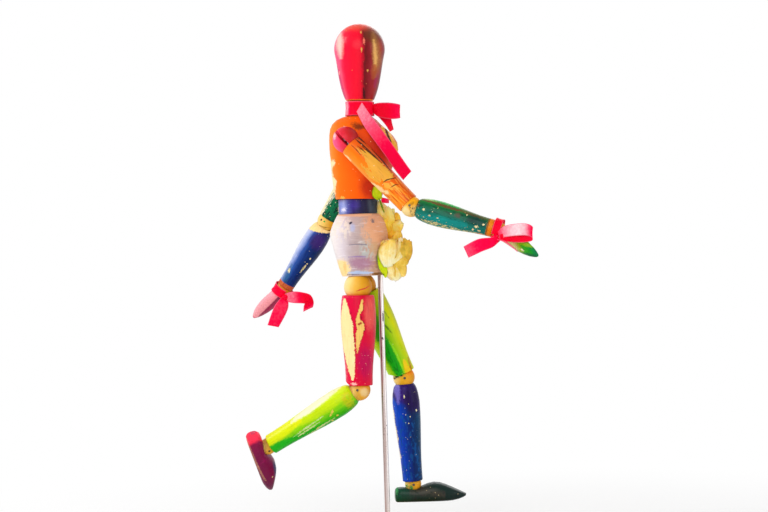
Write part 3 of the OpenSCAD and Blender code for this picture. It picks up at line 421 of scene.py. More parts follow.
def paint_waist():
    f = Finish("waist_navy_paint", joint("waist_turn"), (-hinge_line("waist_turn"), front, near_side), 4.4)
    # The pale lilac stops from -10 to -8 across are a painted highlight on the navy paint.
    base = f.shades(f.across + f.wobble + f.rough_edge * 0.5,
        "-12.5 4042a0, -10 7f8cd0, -8 98a4dc, -5.5 5458a8, -2 2a2066, 3 1c1a44, 7 283046, 10 3e4854, "
        "13 203246")
    specks = f.spot("-2.6 -8.2 1 1.4", 0.5, 0.4) | f.flecks(0.35, 0.25) * f.spot("-3.4 -7 3.4 4.4")
    base = f.lay(base,
        ("3c2a90", f.spot("-5.4 -1.4 3 3", 0.6) * 0.7),
        ("e6e4fa", specks * 0.9),
        ("7a6a70", f.flecks(0.4, 0.1, 3.0)))
    dress("waist_piece", painted(f, base, 0.7, lengthways=False, gloss=0.3, coat=0.2))


def limb_finish(piece, colour, top, bottom, seed):
    """A paint laid out along a limb, from its top joint to its bottom joint or point."""
    side = piece.split("_")[0]
    start = joint(side + "_" + top)
    end = joint(side + "_" + bottom) if isinstance(bottom, str) else bottom
    return Finish(piece + "_" + colour + "_paint", start, limb_lines(start, end), seed)


def far_wear(f):
    """Ragged worn places on the side away from the near one."""
    return f.soft(f.grain(5.0, (2.4, 1, 1), detail=5.0, shift=80.0), 0.36, 0.44) * (1 - f.near)


def paint_right_upper_arm():
    f = limb_finish("right_upper_arm", "orange", "shoulder_swing", "elbow_bend", 5.2)
    base = f.shades(f.across + f.wobble * 0.7,
        "-8 ffa848, -5.5 fd8c1c, -2 f97606, 1 f26a04, 4 e45606, 8 c84c0a")
    ochre = f.stroke("12 2.6 .3, 16.4 3 1.9, 21 2.2 3.2, 27 1.2 4.2, 31.5 1.6 4, 35.4 2.6 3.2, 37.4 2.8 1.5; "
        "18 -3.4 .3, 22.8 -3.7 1, 27 -3.8 1.8, 30.5 -3.2 1.6, 34 -2.4 1.2; 9 1.6 .1, 13 1.2 .5, 17 1.4 .3",
        0.2, 2.0)
    outline = f.stroke("11 3.2 .4, 16 3.8 2, 21 3 3.4, 27 1.9 4.3, 33 2.6 4, 37 3.6 2", 0.2, 2.0)
    low = f.stroke("35.4 -1.6 .4, 38 -1.4 1.5, 41.6 -.6 .7, 43 -.4 .1; 38 1.4 .3, 42 1.6 .9, 47 1.8 .3",
        ragged=1.2)
    # Painted highlight: the cream spot and streaks along the back edge stand in for the light's gloss;
    # painted() also roughens them as chips.
    cream = (f.spot("40.6 -4.4 1.9 1 20")
        | f.stroke("29 -7.2 .3, 32 -6.7 1, 37 -5.7 1.4, 39.4 -5.2 .4; 6 -7 .3, 8.5 -6.6 .9, 12 -6.4 .3",
            0.3, 1.1))
    cracks = (f.stroke("4.6 4.6 .15, 8 4.8 .45, 13 5.2 .35, 18 5.6 .1; 11 4.2 .15, 19 5.2 .5, 26.5 5.6 .1; "
            "15 7.2 .3, 24 6.9 .45, 34 6 .1; 9 2.6 .1, 12 3 .35, 16 3.2 .1; 6 .4 .1, 10 .6 .25, 15 .2 .1; "
            "3 6.4 .2, 7 6.6 .5, 11 6.8 .1", 0.2, 0.35)
        | f.stroke("-2 35.4 .1, 1 36 .4, 5.6 38.3 .25; -1 40.6 .1, 2.5 41.4 .3, 4 42.4 .1", 0.2, 0.3,
            sideways=True))
    far = far_wear(f)
    base = f.lay(base,
        ("f0a034", f.soft(f.grain(0.8, (10, 1, 1), detail=3.0, shift=90.0), 0.0, 0.25)
            * f.soft(f.down, 36.5, 39.5) * 0.8),
        ("c8400a", f.soft(f.grain(0.9, (9, 1, 1), detail=3.0, shift=95.0), 0.05, 0.3) * f.soft(f.down, 36, 40)
            * 0.85),
        ("9a4208", f.broken(outline, 0.8, 0.05) * 0.85),
        ("eaa436", ochre),
        ("f7a93c", low),
        ("ffd494", cream),
        ("c0620e", f.broken(ochre, 0.7, 0.35, 71.0) * 0.7),
        ("f0b350", far),
        ("4a1c08", f.broken(f.stroke("1 5.6 1.2, 4 6 1.4, 7 6.6 .4", ragged=0.9), 0.7)),
        ("3c1a08", cracks),
        ("ffe0a8", f.flecks(0.45, 0.1)))
    dress("right_upper_arm", painted(f, base, 0.6, ochre | low | cream | cracks | far, coat=0.1))


def paint_right_forearm():
    f = limb_finish("right_forearm", "green", "elbow_bend", "wrist_bend", 6.1)
    base = f.shades(f.across + f.wobble * 0.8,
        "-8 0c7c70, -5 02766c, -2 046e60, 1 066048, 3.5 065c30, 5.4 0a7c2c, 8.5 16a030")
    scraped = f.stroke("8 -5.6 .1, 12 -6.3 .9, 17 -6.4 1.4, 24 -6.7 1.4, 31 -6.7 1.3, 38 -6.2 1, 44 -5.6 1, "
        "47 -5.4 .3", 0.3, 1.4)
    cream = (f.broken(scraped, 0.8, -0.05)
        | f.flecks(0.6, 0.5) * f.spot("7.5 -3.4 6.5 3.2 20", 0.3)
        | f.flecks(0.4, 0.35, 4.0) * f.spot("22 -4.5 22 2.4")
        | f.flecks(0.35, 0.12, 9.0) * f.near)
    dots = f.spot("8.9 .2 .7 .6, 14.4 .3 .3 .3, 13.2 -2.3 .7 .4, 18 -2.5 .5 .3, 41.1 -1.5 1.1 .7, "
        "44.9 .7 .7 .6, 34 3.6 .4 .4, 25 2 .3 .3, 43 -3.4 .8 .4, 39.4 -3.6 .5 .6")
    bare = f.soft(f.down + f.rough_edge * 0.7 - f.across * 0.03, 46.6, 47.2)
    far = far_wear(f)
    base = f.lay(base,
        ("028a84", f.stroke("8 -3.6 .6, 18 -3.4 1.9, 30 -2.8 2.2, 36 -2.4 1.2", 1.0, 1.2, both=True) * 0.75),
        ("022a24", f.broken(f.stroke("4 1.5 1.5, 14 1.5 2.6, 28 1.2 2.6, 40 1.4 3, 46 1.2 2.2", 0.6, 1.2,
            both=True), 1.5, 0.1) * 0.5),
        ("10a038", f.stroke("2 6.8 .6, 12 7.2 1, 24 7.2 1, 34 6.2 .4", 0.5, 0.9)),
        ("6a3c20",
            f.stroke("5 5.6 .2, 12 5.6 .7, 20 5.3 .8, 30 4.9 .6, 40 4.2 .5, 45 4 .2", 0.35, 1.3) * 0.85),
        ("545420", f.stroke("28 6 .5, 38 5.6 1.2, 47 5 1.3", 0.6, 1.0) * 0.8),
        ("8fae50", f.stroke("6 6.3 .1, 10 6.4 .4, 15 6.6 .1", 0.3)),
        ("04242a", f.spot("40 1.6 6 2.6 -8", 0.6, 0.9) * 0.7),
        ("2c2a20", f.stroke("1 2.4 1, 3.4 2 1.4, 6.5 1.6 .3", 0.5, 0.9) * 0.9),
        ("6a3a38", f.spot("29 2 1.6 1.4", 0.5) * 0.5),
        ("dcc886", cream),
        ("ecd9a0", dots),
        ("c3a15c", far),
        ("d79a6a", f.spot("44 -5.6 2.8 .9")),
        ("e68208", bare),
        ("7a4a14", f.stroke("-6 47.2 .3, 0 47.3 .5, 7 47.2 .3", ragged=0.6, sideways=True, both=True) * 0.85))
    dress("right_forearm", painted(f, base, 0.7, cream | dots | bare | far, coat=0.15))


def paint_left_upper_arm():
    f = limb_finish("left_upper_arm", "cream", "shoulder_swing", "elbow_bend", 7.3)
    base = f.shades(f.across + f.wobble * 0.8,
        "-8 faecc0, -5 f2e2bc, -3 c2cec4, 0 a8b8ac, 4 dccb94, 8 ecca86")
    green = f.stroke("34 -.4 .4, 40 -.6 2.2, 44 -.6 3.2, 48 .2 4.4, 56 1.4 6, 60 1.6 6", 0.3, 2.0, both=True)
    far = f.soft(f.grain(6.0, (2.2, 1, 1), detail=5.0, shift=84.0), 0.1, 0.2) * (1 - f.near)
    base = f.lay(base,
        ("3c7a64", f.broken(f.stroke("30 -3.6 .4, 40 -3.4 1.8, 50 -3.4 1.6, 55 -4 .5", 0.4, 1.2), 0.9) * 0.8),
        ("0a6c44", green),
        ("03382c", f.broken(green, 1.4, 0.0)),
        ("2a8a5c", far),
        ("e9e2ae", f.flecks(0.5, 0.3) * green))
    dress("left_upper_arm", painted(f, base, 0.7, 1 - green))


def paint_left_forearm():
    f = limb_finish("left_forearm", "navy", "elbow_bend", "wrist_bend", 8.6)
    # The pale lilac stops from -8 to -4 across are a painted highlight along the lit back edge.
    base = f.shades(f.across + f.wobble * 0.6 + f.rough_edge * 0.4,
        "-8 cdd2ec, -6 bcc4e4, -4 8294cc, -2.2 2a50a0, .5 022c78, 4 022460, 8 021c48")
    bare = f.soft(f.down + f.rough_edge * 1.4 + f.across * 0.45, 7.4, 6.9)
    ring = f.soft(f.down + f.rough_edge * 0.5, 46.9, 47.5)
    dots = (f.spot("38.7 -3 1.3 .7 10, 39.6 -2.2 .7 .3, 24.6 4.3 .7 .4, 28.6 4.4 .5 .3")
        | f.broken(f.stroke("29.5 4.2 .2, 32 4 .6, 36.5 3.6 .2", ragged=0.5), 0.5, -0.2)
        | f.flecks(0.35, 0.15) * f.near)
    # Painted highlight: a dotted bright line along the lit back edge.
    edge_wear_and_highlight = (f.stroke("10 -7 .1, 18 -7.2 .6, 26 -7 .5, 34 -6.4 .6, 42 -5.6 .3", 0.3, 1.5)
        * f.soft(f.out, 0.2, 1.4))
    far = far_wear(f)
    base = f.lay(base,
        ("38206c", f.spot("12.4 2.6 5 4.6 20", 0.5, 0.8) * 0.9),
        ("e2e4f4", edge_wear_and_highlight * 0.9),
        ("2a6088", f.stroke("34 -3.4 .4, 42 -2.4 2, 47 -2 1.6", 0.9, 1.2) * 0.6),
        ("e8d8a0", dots),
        ("d9c08a", far),
        ("fcd890", bare),
        ("c05a2c", ring))
    dress("left_forearm", painted(f, base, 0.8, bare | ring | dots | far, coat=0.12))


def paint_right_thigh():
    f = limb_finish("right_thigh", "crimson", "hip_swing", "knee_bend", 9.9)
    base = f.shades(f.across + f.wobble * 0.8,
        "-11 ec4468, -9 e02850, -6 de0440, 0 d80034, 5 d40032, 8.5 d81838, 11 c01030")
    # Cream along the back edge: partly paint peeled to the wood, partly a painted reflection of the light.
    pale = f.stroke("6.4 -7.2 .3, 8 -7.4 1, 12 -7 2, 15 -7 2.8, 21.5 -6.4 4, 34.5 -5.5 4, 44.5 -4.3 2.8, "
        "52 -3.5 1.4, 55.4 -3.2 .4", 0.25, 1.4)
    stripe = f.stroke("7.2 3.4 .2, 10 3 .8, 13.2 2.6 1.1, 16 1.2 .7, 18.5 .7 1.2, 21 1.6 2.1, 24 2.4 2.2, "
        "29.8 1 1.7, 36 .3 .8, 39 0 .2", 0.2, 1.3)
    rim = f.stroke("7 3.8 .5, 13.2 3 1.5, 16 1.2 1.3, 21 1.6 2.7, 24 2.6 2.7, 29.8 1.2 2.1, 38 .4 .6; "
        "14 -6.4 3, 24 -5.8 4.4, 40 -4.6 3.9, 54 -3 1", 0.2, 1.6)
    far = far_wear(f)
    base = f.lay(base,
        ("ea6456", f.spot("15.5 7.6 9.5 3", 0.5, 0.6) * 0.65),
        ("b00454", f.spot("44 4.5 9 4.5", 0.6, 0.6) * 0.7),
        ("f07a84", f.broken(f.stroke("4 -8.6 .8, 14 -9.6 .9, 40 -8.2 .8, 58 -7 .6", ragged=1.0), 1.0) * 0.8),
        ("7a0424", f.broken(rim, 0.9, -0.05) * 0.7),
        ("fddf9e", pale),
        ("f0b884", f.broken(pale, 1.0, 0.3, 75.0) * 0.5),
        ("f2c468", stripe),
        ("a8401c", f.spot("21.6 1.8 .6 1.3 20", 0.4)),
        ("f3cf96", far),
        ("ffa9b0", f.flecks(0.5, 0.5) * f.spot("53.5 -6 4.5 4.5")),
        ("ef9a4a", f.flecks(0.55, 0.2, 5.0) * f.soft(f.down, 20, 14)),
        ("ffb8b0", f.spot("57.2 -2.4 .8 1.8") * 0.9),
        ("e8a27c", f.flecks(0.45, 0.4, 9.0) * f.spot("46 5 7 5")),
        ("f4b0a0", f.flecks(0.35, 0.1, 13.0)))
    dress("right_thigh", painted(f, base, 0.6, pale | stripe | far))


def paint_left_thigh():
    f = limb_finish("left_thigh", "lime", "hip_swing", "knee_bend", 10.4)
    base = f.shades(f.across + f.wobble * 0.9,
        "-10.5 98d800, -7 b4e200, -4 72c000, -1 48ac06, 3 80c000, 6 b0cc00, 8.5 d0d400, 10.5 b8c000")
    worn = f.flecks(0.45, 0.1)
    base = f.lay(base,
        ("2c8c14", f.stroke("14 .4 .6, 20 0 1.8, 27 -2 2.2, 34 -4 1.2", 0.8, 1.2, both=True) * 0.9),
        ("04a010",
            f.stroke("28 -1 .8, 37 -1 3.2, 47 -.9 3.8, 56 -.6 2.6, 60 -.6 .8", 0.8, 1.4, both=True) * 0.95),
        ("026a10", f.broken(f.stroke("34 -2 .8, 46 -2 2.2, 58 -1.6 1.6", 0.6, 1.2), 1.4) * 0.7),
        ("8fd81a", f.stroke("36 1.8 .2, 44 2.6 .8, 54 2.4 .5, 58 2 .2", 0.5, 0.8) * 0.9),
        ("2c6404",
            f.stroke("24 2.8 .2, 28.5 4.2 .6, 33 5.4 .2; 14 5.6 .1, 19 6.6 .3, 24 7.4 .1", 0.4, 0.7) * 0.8),
        ("f0c400", f.stroke("50 5 .4, 55 4.6 1.6, 60 4.6 2.4, 63 4.6 2.4", 0.5, 1.4) * 0.9),
        ("a8660a", f.stroke("50 7.6 .2, 56 6.8 .6, 61 6.4 .2", 0.4, 0.8) * 0.8),
        ("efe6a0", worn * 0.8))
    dress("left_thigh", painted(f, base, 0.5, worn))


def paint_right_shin():
    f = limb_finish("right_shin", "lime", "knee_bend", "ankle_bend", 11.8)
    base = f.shades(f.across + f.wobble * 0.9 + f.rough_edge * 0.5,
        "-9 e8ec50, -6.5 dcec30, -3 b8e404, 0 90d400, 3 74c800, 5.5 3cb40c, 8.5 229814")
    beige = f.stroke("25 2 .1, 31 2.4 .3, 39 2.8 .45, 48.5 3.4 .1; 29 3.8 .1, 35 4.2 .4, 43 4.4 .3, "
        "46 4.6 .1; 20 6.6 .1, 28 6.5 .35, 36 6.9 .3, 42 7 .1", ragged=1.3)
    dots = (f.spot("18.3 6 .7 .5, 22.8 7.2 .7 .4, 32.8 6.3 .5 .3, 19.6 2.8 1.4 .7 40, 21.5 3.9 1 .5 40")
        | f.flecks(0.4, 0.3) * f.spot("30 6 16 3"))
    base = f.lay(base,
        ("ccdc08", f.stroke("4 -2 1.5, 20 -1.5 3, 36 -1.5 2.4, 44 -2 1", 1.2, 1.2, both=True) * 0.6),
        ("eee604", f.stroke("38 -3.2 1, 46 -3.2 3, 56 -3.2 4.2, 64 -3 3.6", 1.0, 1.4, both=True) * 0.6),
        # Painted highlight: a pale streak along the lit back edge.
        ("f6f2cc", f.stroke("8 -7.4 .4, 15.2 -7 1.2, 22.6 -6.6 2, 31.7 -5.9 2.2, 41.7 -5.2 1, 45.5 -4.6 .2",
            0.9, 1.6) * 0.9),
        ("06a814", f.stroke("12 8.2 .6, 24 8 1.6, 34 7.4 2.8, 47 6.4 3.6, 58 5 4.2, 64 4.4 3.6", 0.8, 1.8,
            both=True) * 0.95),
        ("046a14", f.broken(f.stroke("20 8.4 .8, 40 7.8 1.6, 62 6.6 1.8", 0.5, 1.2), 1.2, 0.1) * 0.8),
        ("dcb010", f.broken(f.spot("8 1.6 3 5 -8", 0.6, 0.9), 2.0, -0.15) * 0.5),
        ("c8dc90", beige),
        ("dcc850", dots),
        ("587a08", f.soft(f.down + f.rough_edge * 0.8, 63.2, 64.6) * 0.7),
        ("8a3c08", f.soft(f.down + f.rough_edge * 0.4, 3.4, 2.2) * 0.8))
    dress("right_shin", painted(f, base, 0.6, beige | dots, gloss=0.34, coat=0.1))


def paint_left_shin():
    f = limb_finish("left_shin", "blue", "knee_bend", "ankle_bend", 12.7)
    base = f.shades(f.across + f.wobble * 0.9 + f.rough_edge * 0.5,
        "-9 0c50c4, -6.5 0244c0, -3.5 0238b0, -.5 022c88, 2 022060, 5 022c58, 8.5 044266")
    dots = (f.spot("11 -.2 1 .4, 20.1 6.3 .7 .4, 22 -.2 .4 .3, 23.4 2.4 .3 .3, 27.4 1.1 .3 .3")
        | f.flecks(0.35, 0.08) * f.near)
    edge_wear_and_highlight = (f.stroke("19 -8 .1, 22 -8 .6, 27 -8 .3, 31.9 -7.4 .6, 36.9 -7.1 .6, 42 -6.8 .1, 48 -6.3 .6, "
        "51 -6.2 .1", ragged=1.5) * f.soft(f.out, 0.2, 1.4))
    far = far_wear(f)
    base = f.lay(base,
        ("064a8c", f.broken(f.stroke("22 0 4, 40 0 6, 62 0 6", ragged=1.0, both=True), 1.6, 0.05) * 0.7),
        ("0a6ab0", f.flecks(0.5, 0.2, 6.0) * f.stroke("20 -5 2, 40 -5 3, 60 -4 3") * 0.8),
        ("2a0e60", f.soft(f.down + f.wobble * 2.5 + f.rough_edge - f.across * 0.6, 19, 14) * 0.95),
        ("160638", f.spot("13 4.6 8.5 4.2", 0.5, 0.5) * 0.85),
        # Painted highlight: lavender on the lit back edge near the knee.
        ("7a70d0", f.stroke("3 -4.6 1.6, 7 -4.6 2.2, 12 -4 1.2, 16 -4.4 .3", 1.0, 1.4) * 0.75),
        ("f0e4b4", dots),
        ("ecd9b0", edge_wear_and_highlight),
        ("d8c9a0", far))
    dress("left_shin", painted(f, base, 0.85, dots | edge_wear_and_highlight | far, gloss=0.38))


def paint_hand(side, piece):
    if side == "right":
        f = limb_finish("right_hand", "green", "wrist_bend", fingertip(side), 13.5)
        base = f.shades(f.down + f.wobble * 1.2 + f.across * 1.2,
            "4 d8c884, 12 d0c47c, 15.5 98b814, 19 30a010, 25 028818, 31 026a48")
        laid = [
            ("98c008", f.stroke("12 .4 .6, 17 1.2 1.6, 23 2.4 1.4, 26 3 .4", 0.7, 1.0) * 0.7),
            ("e09078", f.stroke("5 -4.8 .5, 12 -4.9 .7, 17 -4.5 .3", 0.5, 0.8) * 0.7),
            ("ece2b4", f.spot("20.3 -2.2 1.2 .5")),
            ("02583c", f.stroke("16 -4.6 .3, 22 -4.2 1.2, 29 -1.2 .8", 0.7, 1.0, both=True) * 0.8)]
    else:
        f = limb_finish("left_hand", "pink", "wrist_bend", fingertip(side), 14.2)
        base = f.shades(f.across + f.rough_edge * 0.3,
            "-8 f89ca8, -1 fba6ae, 1.1 f498a4, 1.7 900c44, 4 a80a4c, 8 7a0638")
        laid = [("d83060", f.soft(f.down + f.rough_edge, 27.5, 29.5) * 0.8)]
    dress(piece, painted(f, f.lay(base, *laid), 0.6 if side == "right" else 0.25, coat=0.12))


def paint_foot(side, piece):
    up = sole_up(side)
    lines = (-up, (front - front.dot(up) * up).normalized(), near_side)
    if side == "right":
        f = Finish("right_foot_maroon_paint", joint("right_ankle_bend"), lines, 15.1)
        base = f.shades(f.across + f.wobble + f.rough_edge * 0.5 - f.down * 0.12,
            "-14 f83450, -2.6 f0284a, -1.4 840c40, 4 760640, 14 70043c, 24 4c0838")
        rim = f.stroke("-14 11.6 .4, -6 11 .8, 9.4 9.7 .6, 24 7 .5", 0.3, 0.9, sideways=True)
        laid = [
            ("02265a", f.stroke("4 -3 1, 9 -1.4 1.8, 17 .6 1.8, 26 4.4 1", 0.8, 1.0, sideways=True, both=True)
                * 0.85),
            ("c08868", rim * 0.6),
            ("b03a5a", f.spot("5.5 -9 2 1.6 30") * 0.6),
            ("d9c48a", f.spot("3.1 15.9 1.1 .6 30, 5 17 .5 .4")),
            ("f29a8e", f.flecks(0.5, 0.3) * f.soft(f.across, -4, -6))]
    else:
        f = Finish("left_foot_dark_green_paint", joint("left_ankle_bend"), lines, 16.6)
        base = f.shades(f.across + f.wobble + f.rough_edge,
            "-14 165a30, -9 0e4430, 0 182e28, 12 122822, 30 0c2220")
        rim = f.spot("3.2 -9.6 2.2 .9", 0.4)
        laid = [
            ("2c8a4a", rim),
            ("4c4238", f.stroke("-2 4.4 .8, 8 3.8 2.4, 20 6.6 1.2", 2.4, 1.4, sideways=True) * 0.6),
            ("04201a", f.soft(f.grain(3.0, detail=4.0, shift=20.0), 0.1, 0.5) * 0.7),
            ("3a1c30", f.soft(f.grain(4.0, detail=4.0, shift=27.0), 0.1, 0.5) * 0.6),
            ("a89a70", f.flecks(0.5, 0.14))]
    dress(piece, painted(f, f.lay(base, *laid), 0.7, rim, coat=0.12))


def paint_ball(name, centre, seed, middle_colour, marks):
    """A bare ball joint: yellow-stained wood, paler towards the light side, scuffed where it turns."""
    f = Finish(name + "_wood", centre, (down, front, near_side), seed)
    line = f.grain(0.8, (6, 1, 1), shift=4.0)
    base = f.shades(f.across + f.wobble * 0.8 + f.down * 0.15,
        f"-8 f6dca2, -4.5 f4d07c, -1 {middle_colour}, 3 e2a024, 8 cc8418")
    base = f.lay(base,
        ("b8761e", f.soft(line, 0.2, 0.7) * 0.4),
        ("8a5a20", f.soft(f.grain(2.2, detail=4.0, shift=23.0), 0.42, 0.6) * 0.4),
        *marks(f))
    dress(name, f.done(base, 0.42 + f.wobble * 0.08, line * 0.5, 0.06,
        {"Coat Weight": 0.06, "Coat Roughness": 0.3}))


def paint_shoulder_ball(side):
    centre = joint(side + "_shoulder_swing")
    f = Finish(side + "_shoulder_ball_red_paint", centre, (down, front, near_side), 17.0 + centre.z)
    base = f.shades(f.across + f.down * -0.35 + f.wobble * 0.8,
        "-9 f0307c, -6 f85080, -3.5 f43458, -1 e42840, 3 cc2028, 8 a01818")
    base = f.lay(base,
        ("c04c28", f.soft(f.grain(0.8, detail=4.0, shift=6.0), 0.2, 0.5) * 0.5),
        ("ffc4c8", f.spot("-2.2 -6.2 1.8 .9", 0.6) * 0.9),
        ("e0600c", f.stroke("-2 6.4 .3, 3 5.6 .8, 6 3.2 .3", 0.4, 0.7, sideways=True) * 0.5))
    dress(side + "_shoulder_ball", painted(f, base, 0.5, gloss=0.34, coat=0.12))


def paint_balls():
    bare_marks = {
        "right_elbow_ball": lambda f: [
            ("e0b868", f.spot("3.4 2.4 4 3.2", 0.3, 0.6)),
            ("f6dc9c", f.spot("3.6 -3 3.6 2.6", 0.4, 0.5) * 0.8),
            ("f9a90c", f.spot("-3.6 1 3.4 5 20", 0.5, 0.5) * 0.8),
            ("4a2c14", f.broken(f.spot("2.4 2.2 4.4 2.4 25", 0.5, 0.8), 1.2, 0.0, 91.0) * 0.85)],
        "left_elbow_ball": lambda f: [
            ("1ea03c", f.spot(".2 -1.2 .5 .5")),
            ("7a3c14", f.stroke("-6 2 .1, -2 3.6 .25, 4 4.8 .1", ragged=0.3, sideways=True) * 0.8)],
        "right_hip_ball": lambda f: [
            ("cc2430", f.stroke("-.6 2.4 .1, 2 1.6 .35, 5 .9 .3, 7.4 -.6 .1", ragged=0.6, sideways=True)),
            ("a05e16", f.spot("6.4 2 1.2 3", 0.5) * 0.4)],
        "right_knee_ball": lambda f: [
            ("d03a2c", f.spot("-4.4 2.4 .5 1.4, -3.6 5 .4 1, -5.2 .4 .4 1.2")),
            ("2c1c10", f.spot("-2.6 -5.2 .9 .8")),
            ("b86a10", f.spot("0 -5.4 5 1.8", 0.5) * 0.7),
            ("e8d4a0", f.spot("1.4 3.4 2.6 2.2", 0.5, 0.5) * 0.6)],
        "left_knee_ball": lambda f: [
            ("10162c", f.spot("-.8 -3.8 .9 1.3, -1.4 -1 .6 .9, .4 -5.2 .6 .8, -2.4 -5.6 .5 .6")),
            ("ee8408", f.spot("-4.4 4.4 3 2.6", 0.5, 0.5) * 0.85)],
        "left_ankle_ball": lambda f: [("3c9048", f.spot("2.2 -.8 1.3 1.1, 1 -3.6 .8 .7", 0.4, 0.6))]}
    middles = {"right_elbow": "f4b02c", "left_elbow": "ecc05c", "wrist": "e2942c", "hip": "ecb444",
               "right_knee": "d8a640", "left_knee": "e4a820", "right_ankle": "bc9240", "left_ankle": "cc9c2c"}
    for side in ("right", "left"):
        for part in ("elbow", "wrist", "hip", "knee", "ankle"):
            name = side + "_" + part
            centre = joint(name + ("_swing" if part == "hip" else "_bend"))
            paint_ball(name + "_ball", centre, len(part) + centre.z * 50, middles.get(name) or middles[part],
                bare_marks.get(name + "_ball", lambda f: []))
        paint_shoulder_ball(side)
    f = Finish("neck_ball_peach_paint", joint("neck_turn"), (-spine, front, near_side), 18.0)
    base = f.shades(f.across + f.wobble, "-7 ffd098, -2 f4a45c, 4 e07c38, 8 c05c28")
    dress("neck_ball", painted(f, base, 0.5))


def steel(name, tone, roughness, seed, specks=False):
    f = Finish(name, Vector((0, 0, 0)), (down, front, near_side), seed)
    fine = f.grain(0.3, (1, 40, 40), detail=2.0)
    base = f.shades(fine, f"-.8 {tone[0]}, .8 {tone[1]}")
    if specks:
        middle = f.soft(f.grain(1.4, (40, 1, 1), detail=2.0, shift=4.0) * 0.7 + f.across * 0.25, 0.35, -0.25)
        base = f.lay(base,
            ("90584a", middle * 0.6),
            ("1c1012", f.flecks(0.55, 0.22) | f.spot("-139 1 3 .3, -126 .4 .8 .5")))
    return f.done(base, roughness + fine * 0.06, fine, 0.01, {"Metallic": 1.0})


def paint_metal_and_base():
    dress("support_rod", steel("support_rod_steel", ("c8c0be", "ece6e4"), 0.3, 19.0, specks=True))
    wire = steel("spring_wire_steel", ("9aa0a6", "c8ccd0"), 0.3, 20.0)
    pin = steel("cross_pin_steel", ("4a4540", "6c645c"), 0.45, 21.0)
    for name in frame["nodes"]:
        if name.endswith(("_spring", "_pin")):
            dress(name, pin if name.endswith("_pin") else wire)
    f = Finish("base_beech", Vector((0, 0, 0)), (Vector((0, 1, 0)), Vector((1, 0, 0)), Vector((0, 0, 1))),
        22.0)
    grain = f.grain(2.2, (30, 1, 0.6), detail=4.0)
    rings = f.grain(9.0, (5, 1, 0.6), detail=2.0, shift=3.0)
    pores = f.soft(f.grain(0.4, (22, 1, 1), detail=1.0, shift=9.0), 0.42, 0.75)
    base = f.shades(grain * 0.6 + rings * 0.5, "-.7 c48c4c, -.1 dcaa68, .3 e9c083, .8 f1cf98")
    dress("base", f.done(f.over(base, "9a6530", pores * 0.6), 0.4 + grain * 0.06, pores * -1 + grain * 0.4,
        0.06, {"Coat Weight": 0.3, "Coat Roughness": 0.25}))


# Shaped wood with smooth faces
def put(name, data):
    """Puts a mesh, light or camera into the scene."""
    thing = bpy.data.objects.new(name, data)
    bpy.context.scene.collection.objects.link(thing)
    return thing


def shaped_copy(node):
    """A copy of a shaped piece with evenly shaded faces; edges cut sharper than 32 degrees stay crisp."""
    same_point, no_length, sharp = 0.00001, 0.000002, math.radians(32)
    bm = bmesh.new()
    bm.from_mesh(frame["nodes"][node].data)
    bmesh.ops.remove_doubles(bm, verts=bm.verts, dist=same_point)
    bmesh.ops.dissolve_degenerate(bm, edges=bm.edges, dist=no_length)
    bmesh.ops.recalc_face_normals(bm, faces=bm.faces)
    for edge in bm.edges:
        edge.smooth = edge.is_manifold and edge.calc_face_angle(0.0) < sharp
    return hang(bm, node + "_shaped", node, [node])


def hang(bm, name, body, nodes=(), material=None):
    """Makes a mesh into a piece that rides a body in place of the named ones."""
    for face in bm.faces:
        face.smooth = True
    mesh = bpy.data.meshes.new(name)
    bm.to_mesh(mesh)
    bm.free()
    if material:
        mesh.materials.append(material)
    piece = put(name, mesh)
    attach(piece, body)
    if nodes:
        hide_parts(*nodes)
    return piece


# Ribbons and petals
def curve_through(through, steps):
    """The points joined by one smooth line that passes through each."""
    out = []
    for i in range(len(through) - 1):
        a, b = through[max(i - 1, 0)], through[i]
        c, d = through[i + 1], through[min(i + 2, len(through) - 1)]
        for k in range(steps):
            t = k / steps
            out.append(0.5 * (2 * b + (c - a) * t + (2 * a - 5 * b + 4 * c - d) * t * t
                              + (3 * b - a - 3 * c + d) * t ** 3))
    return out + [through[-1]]


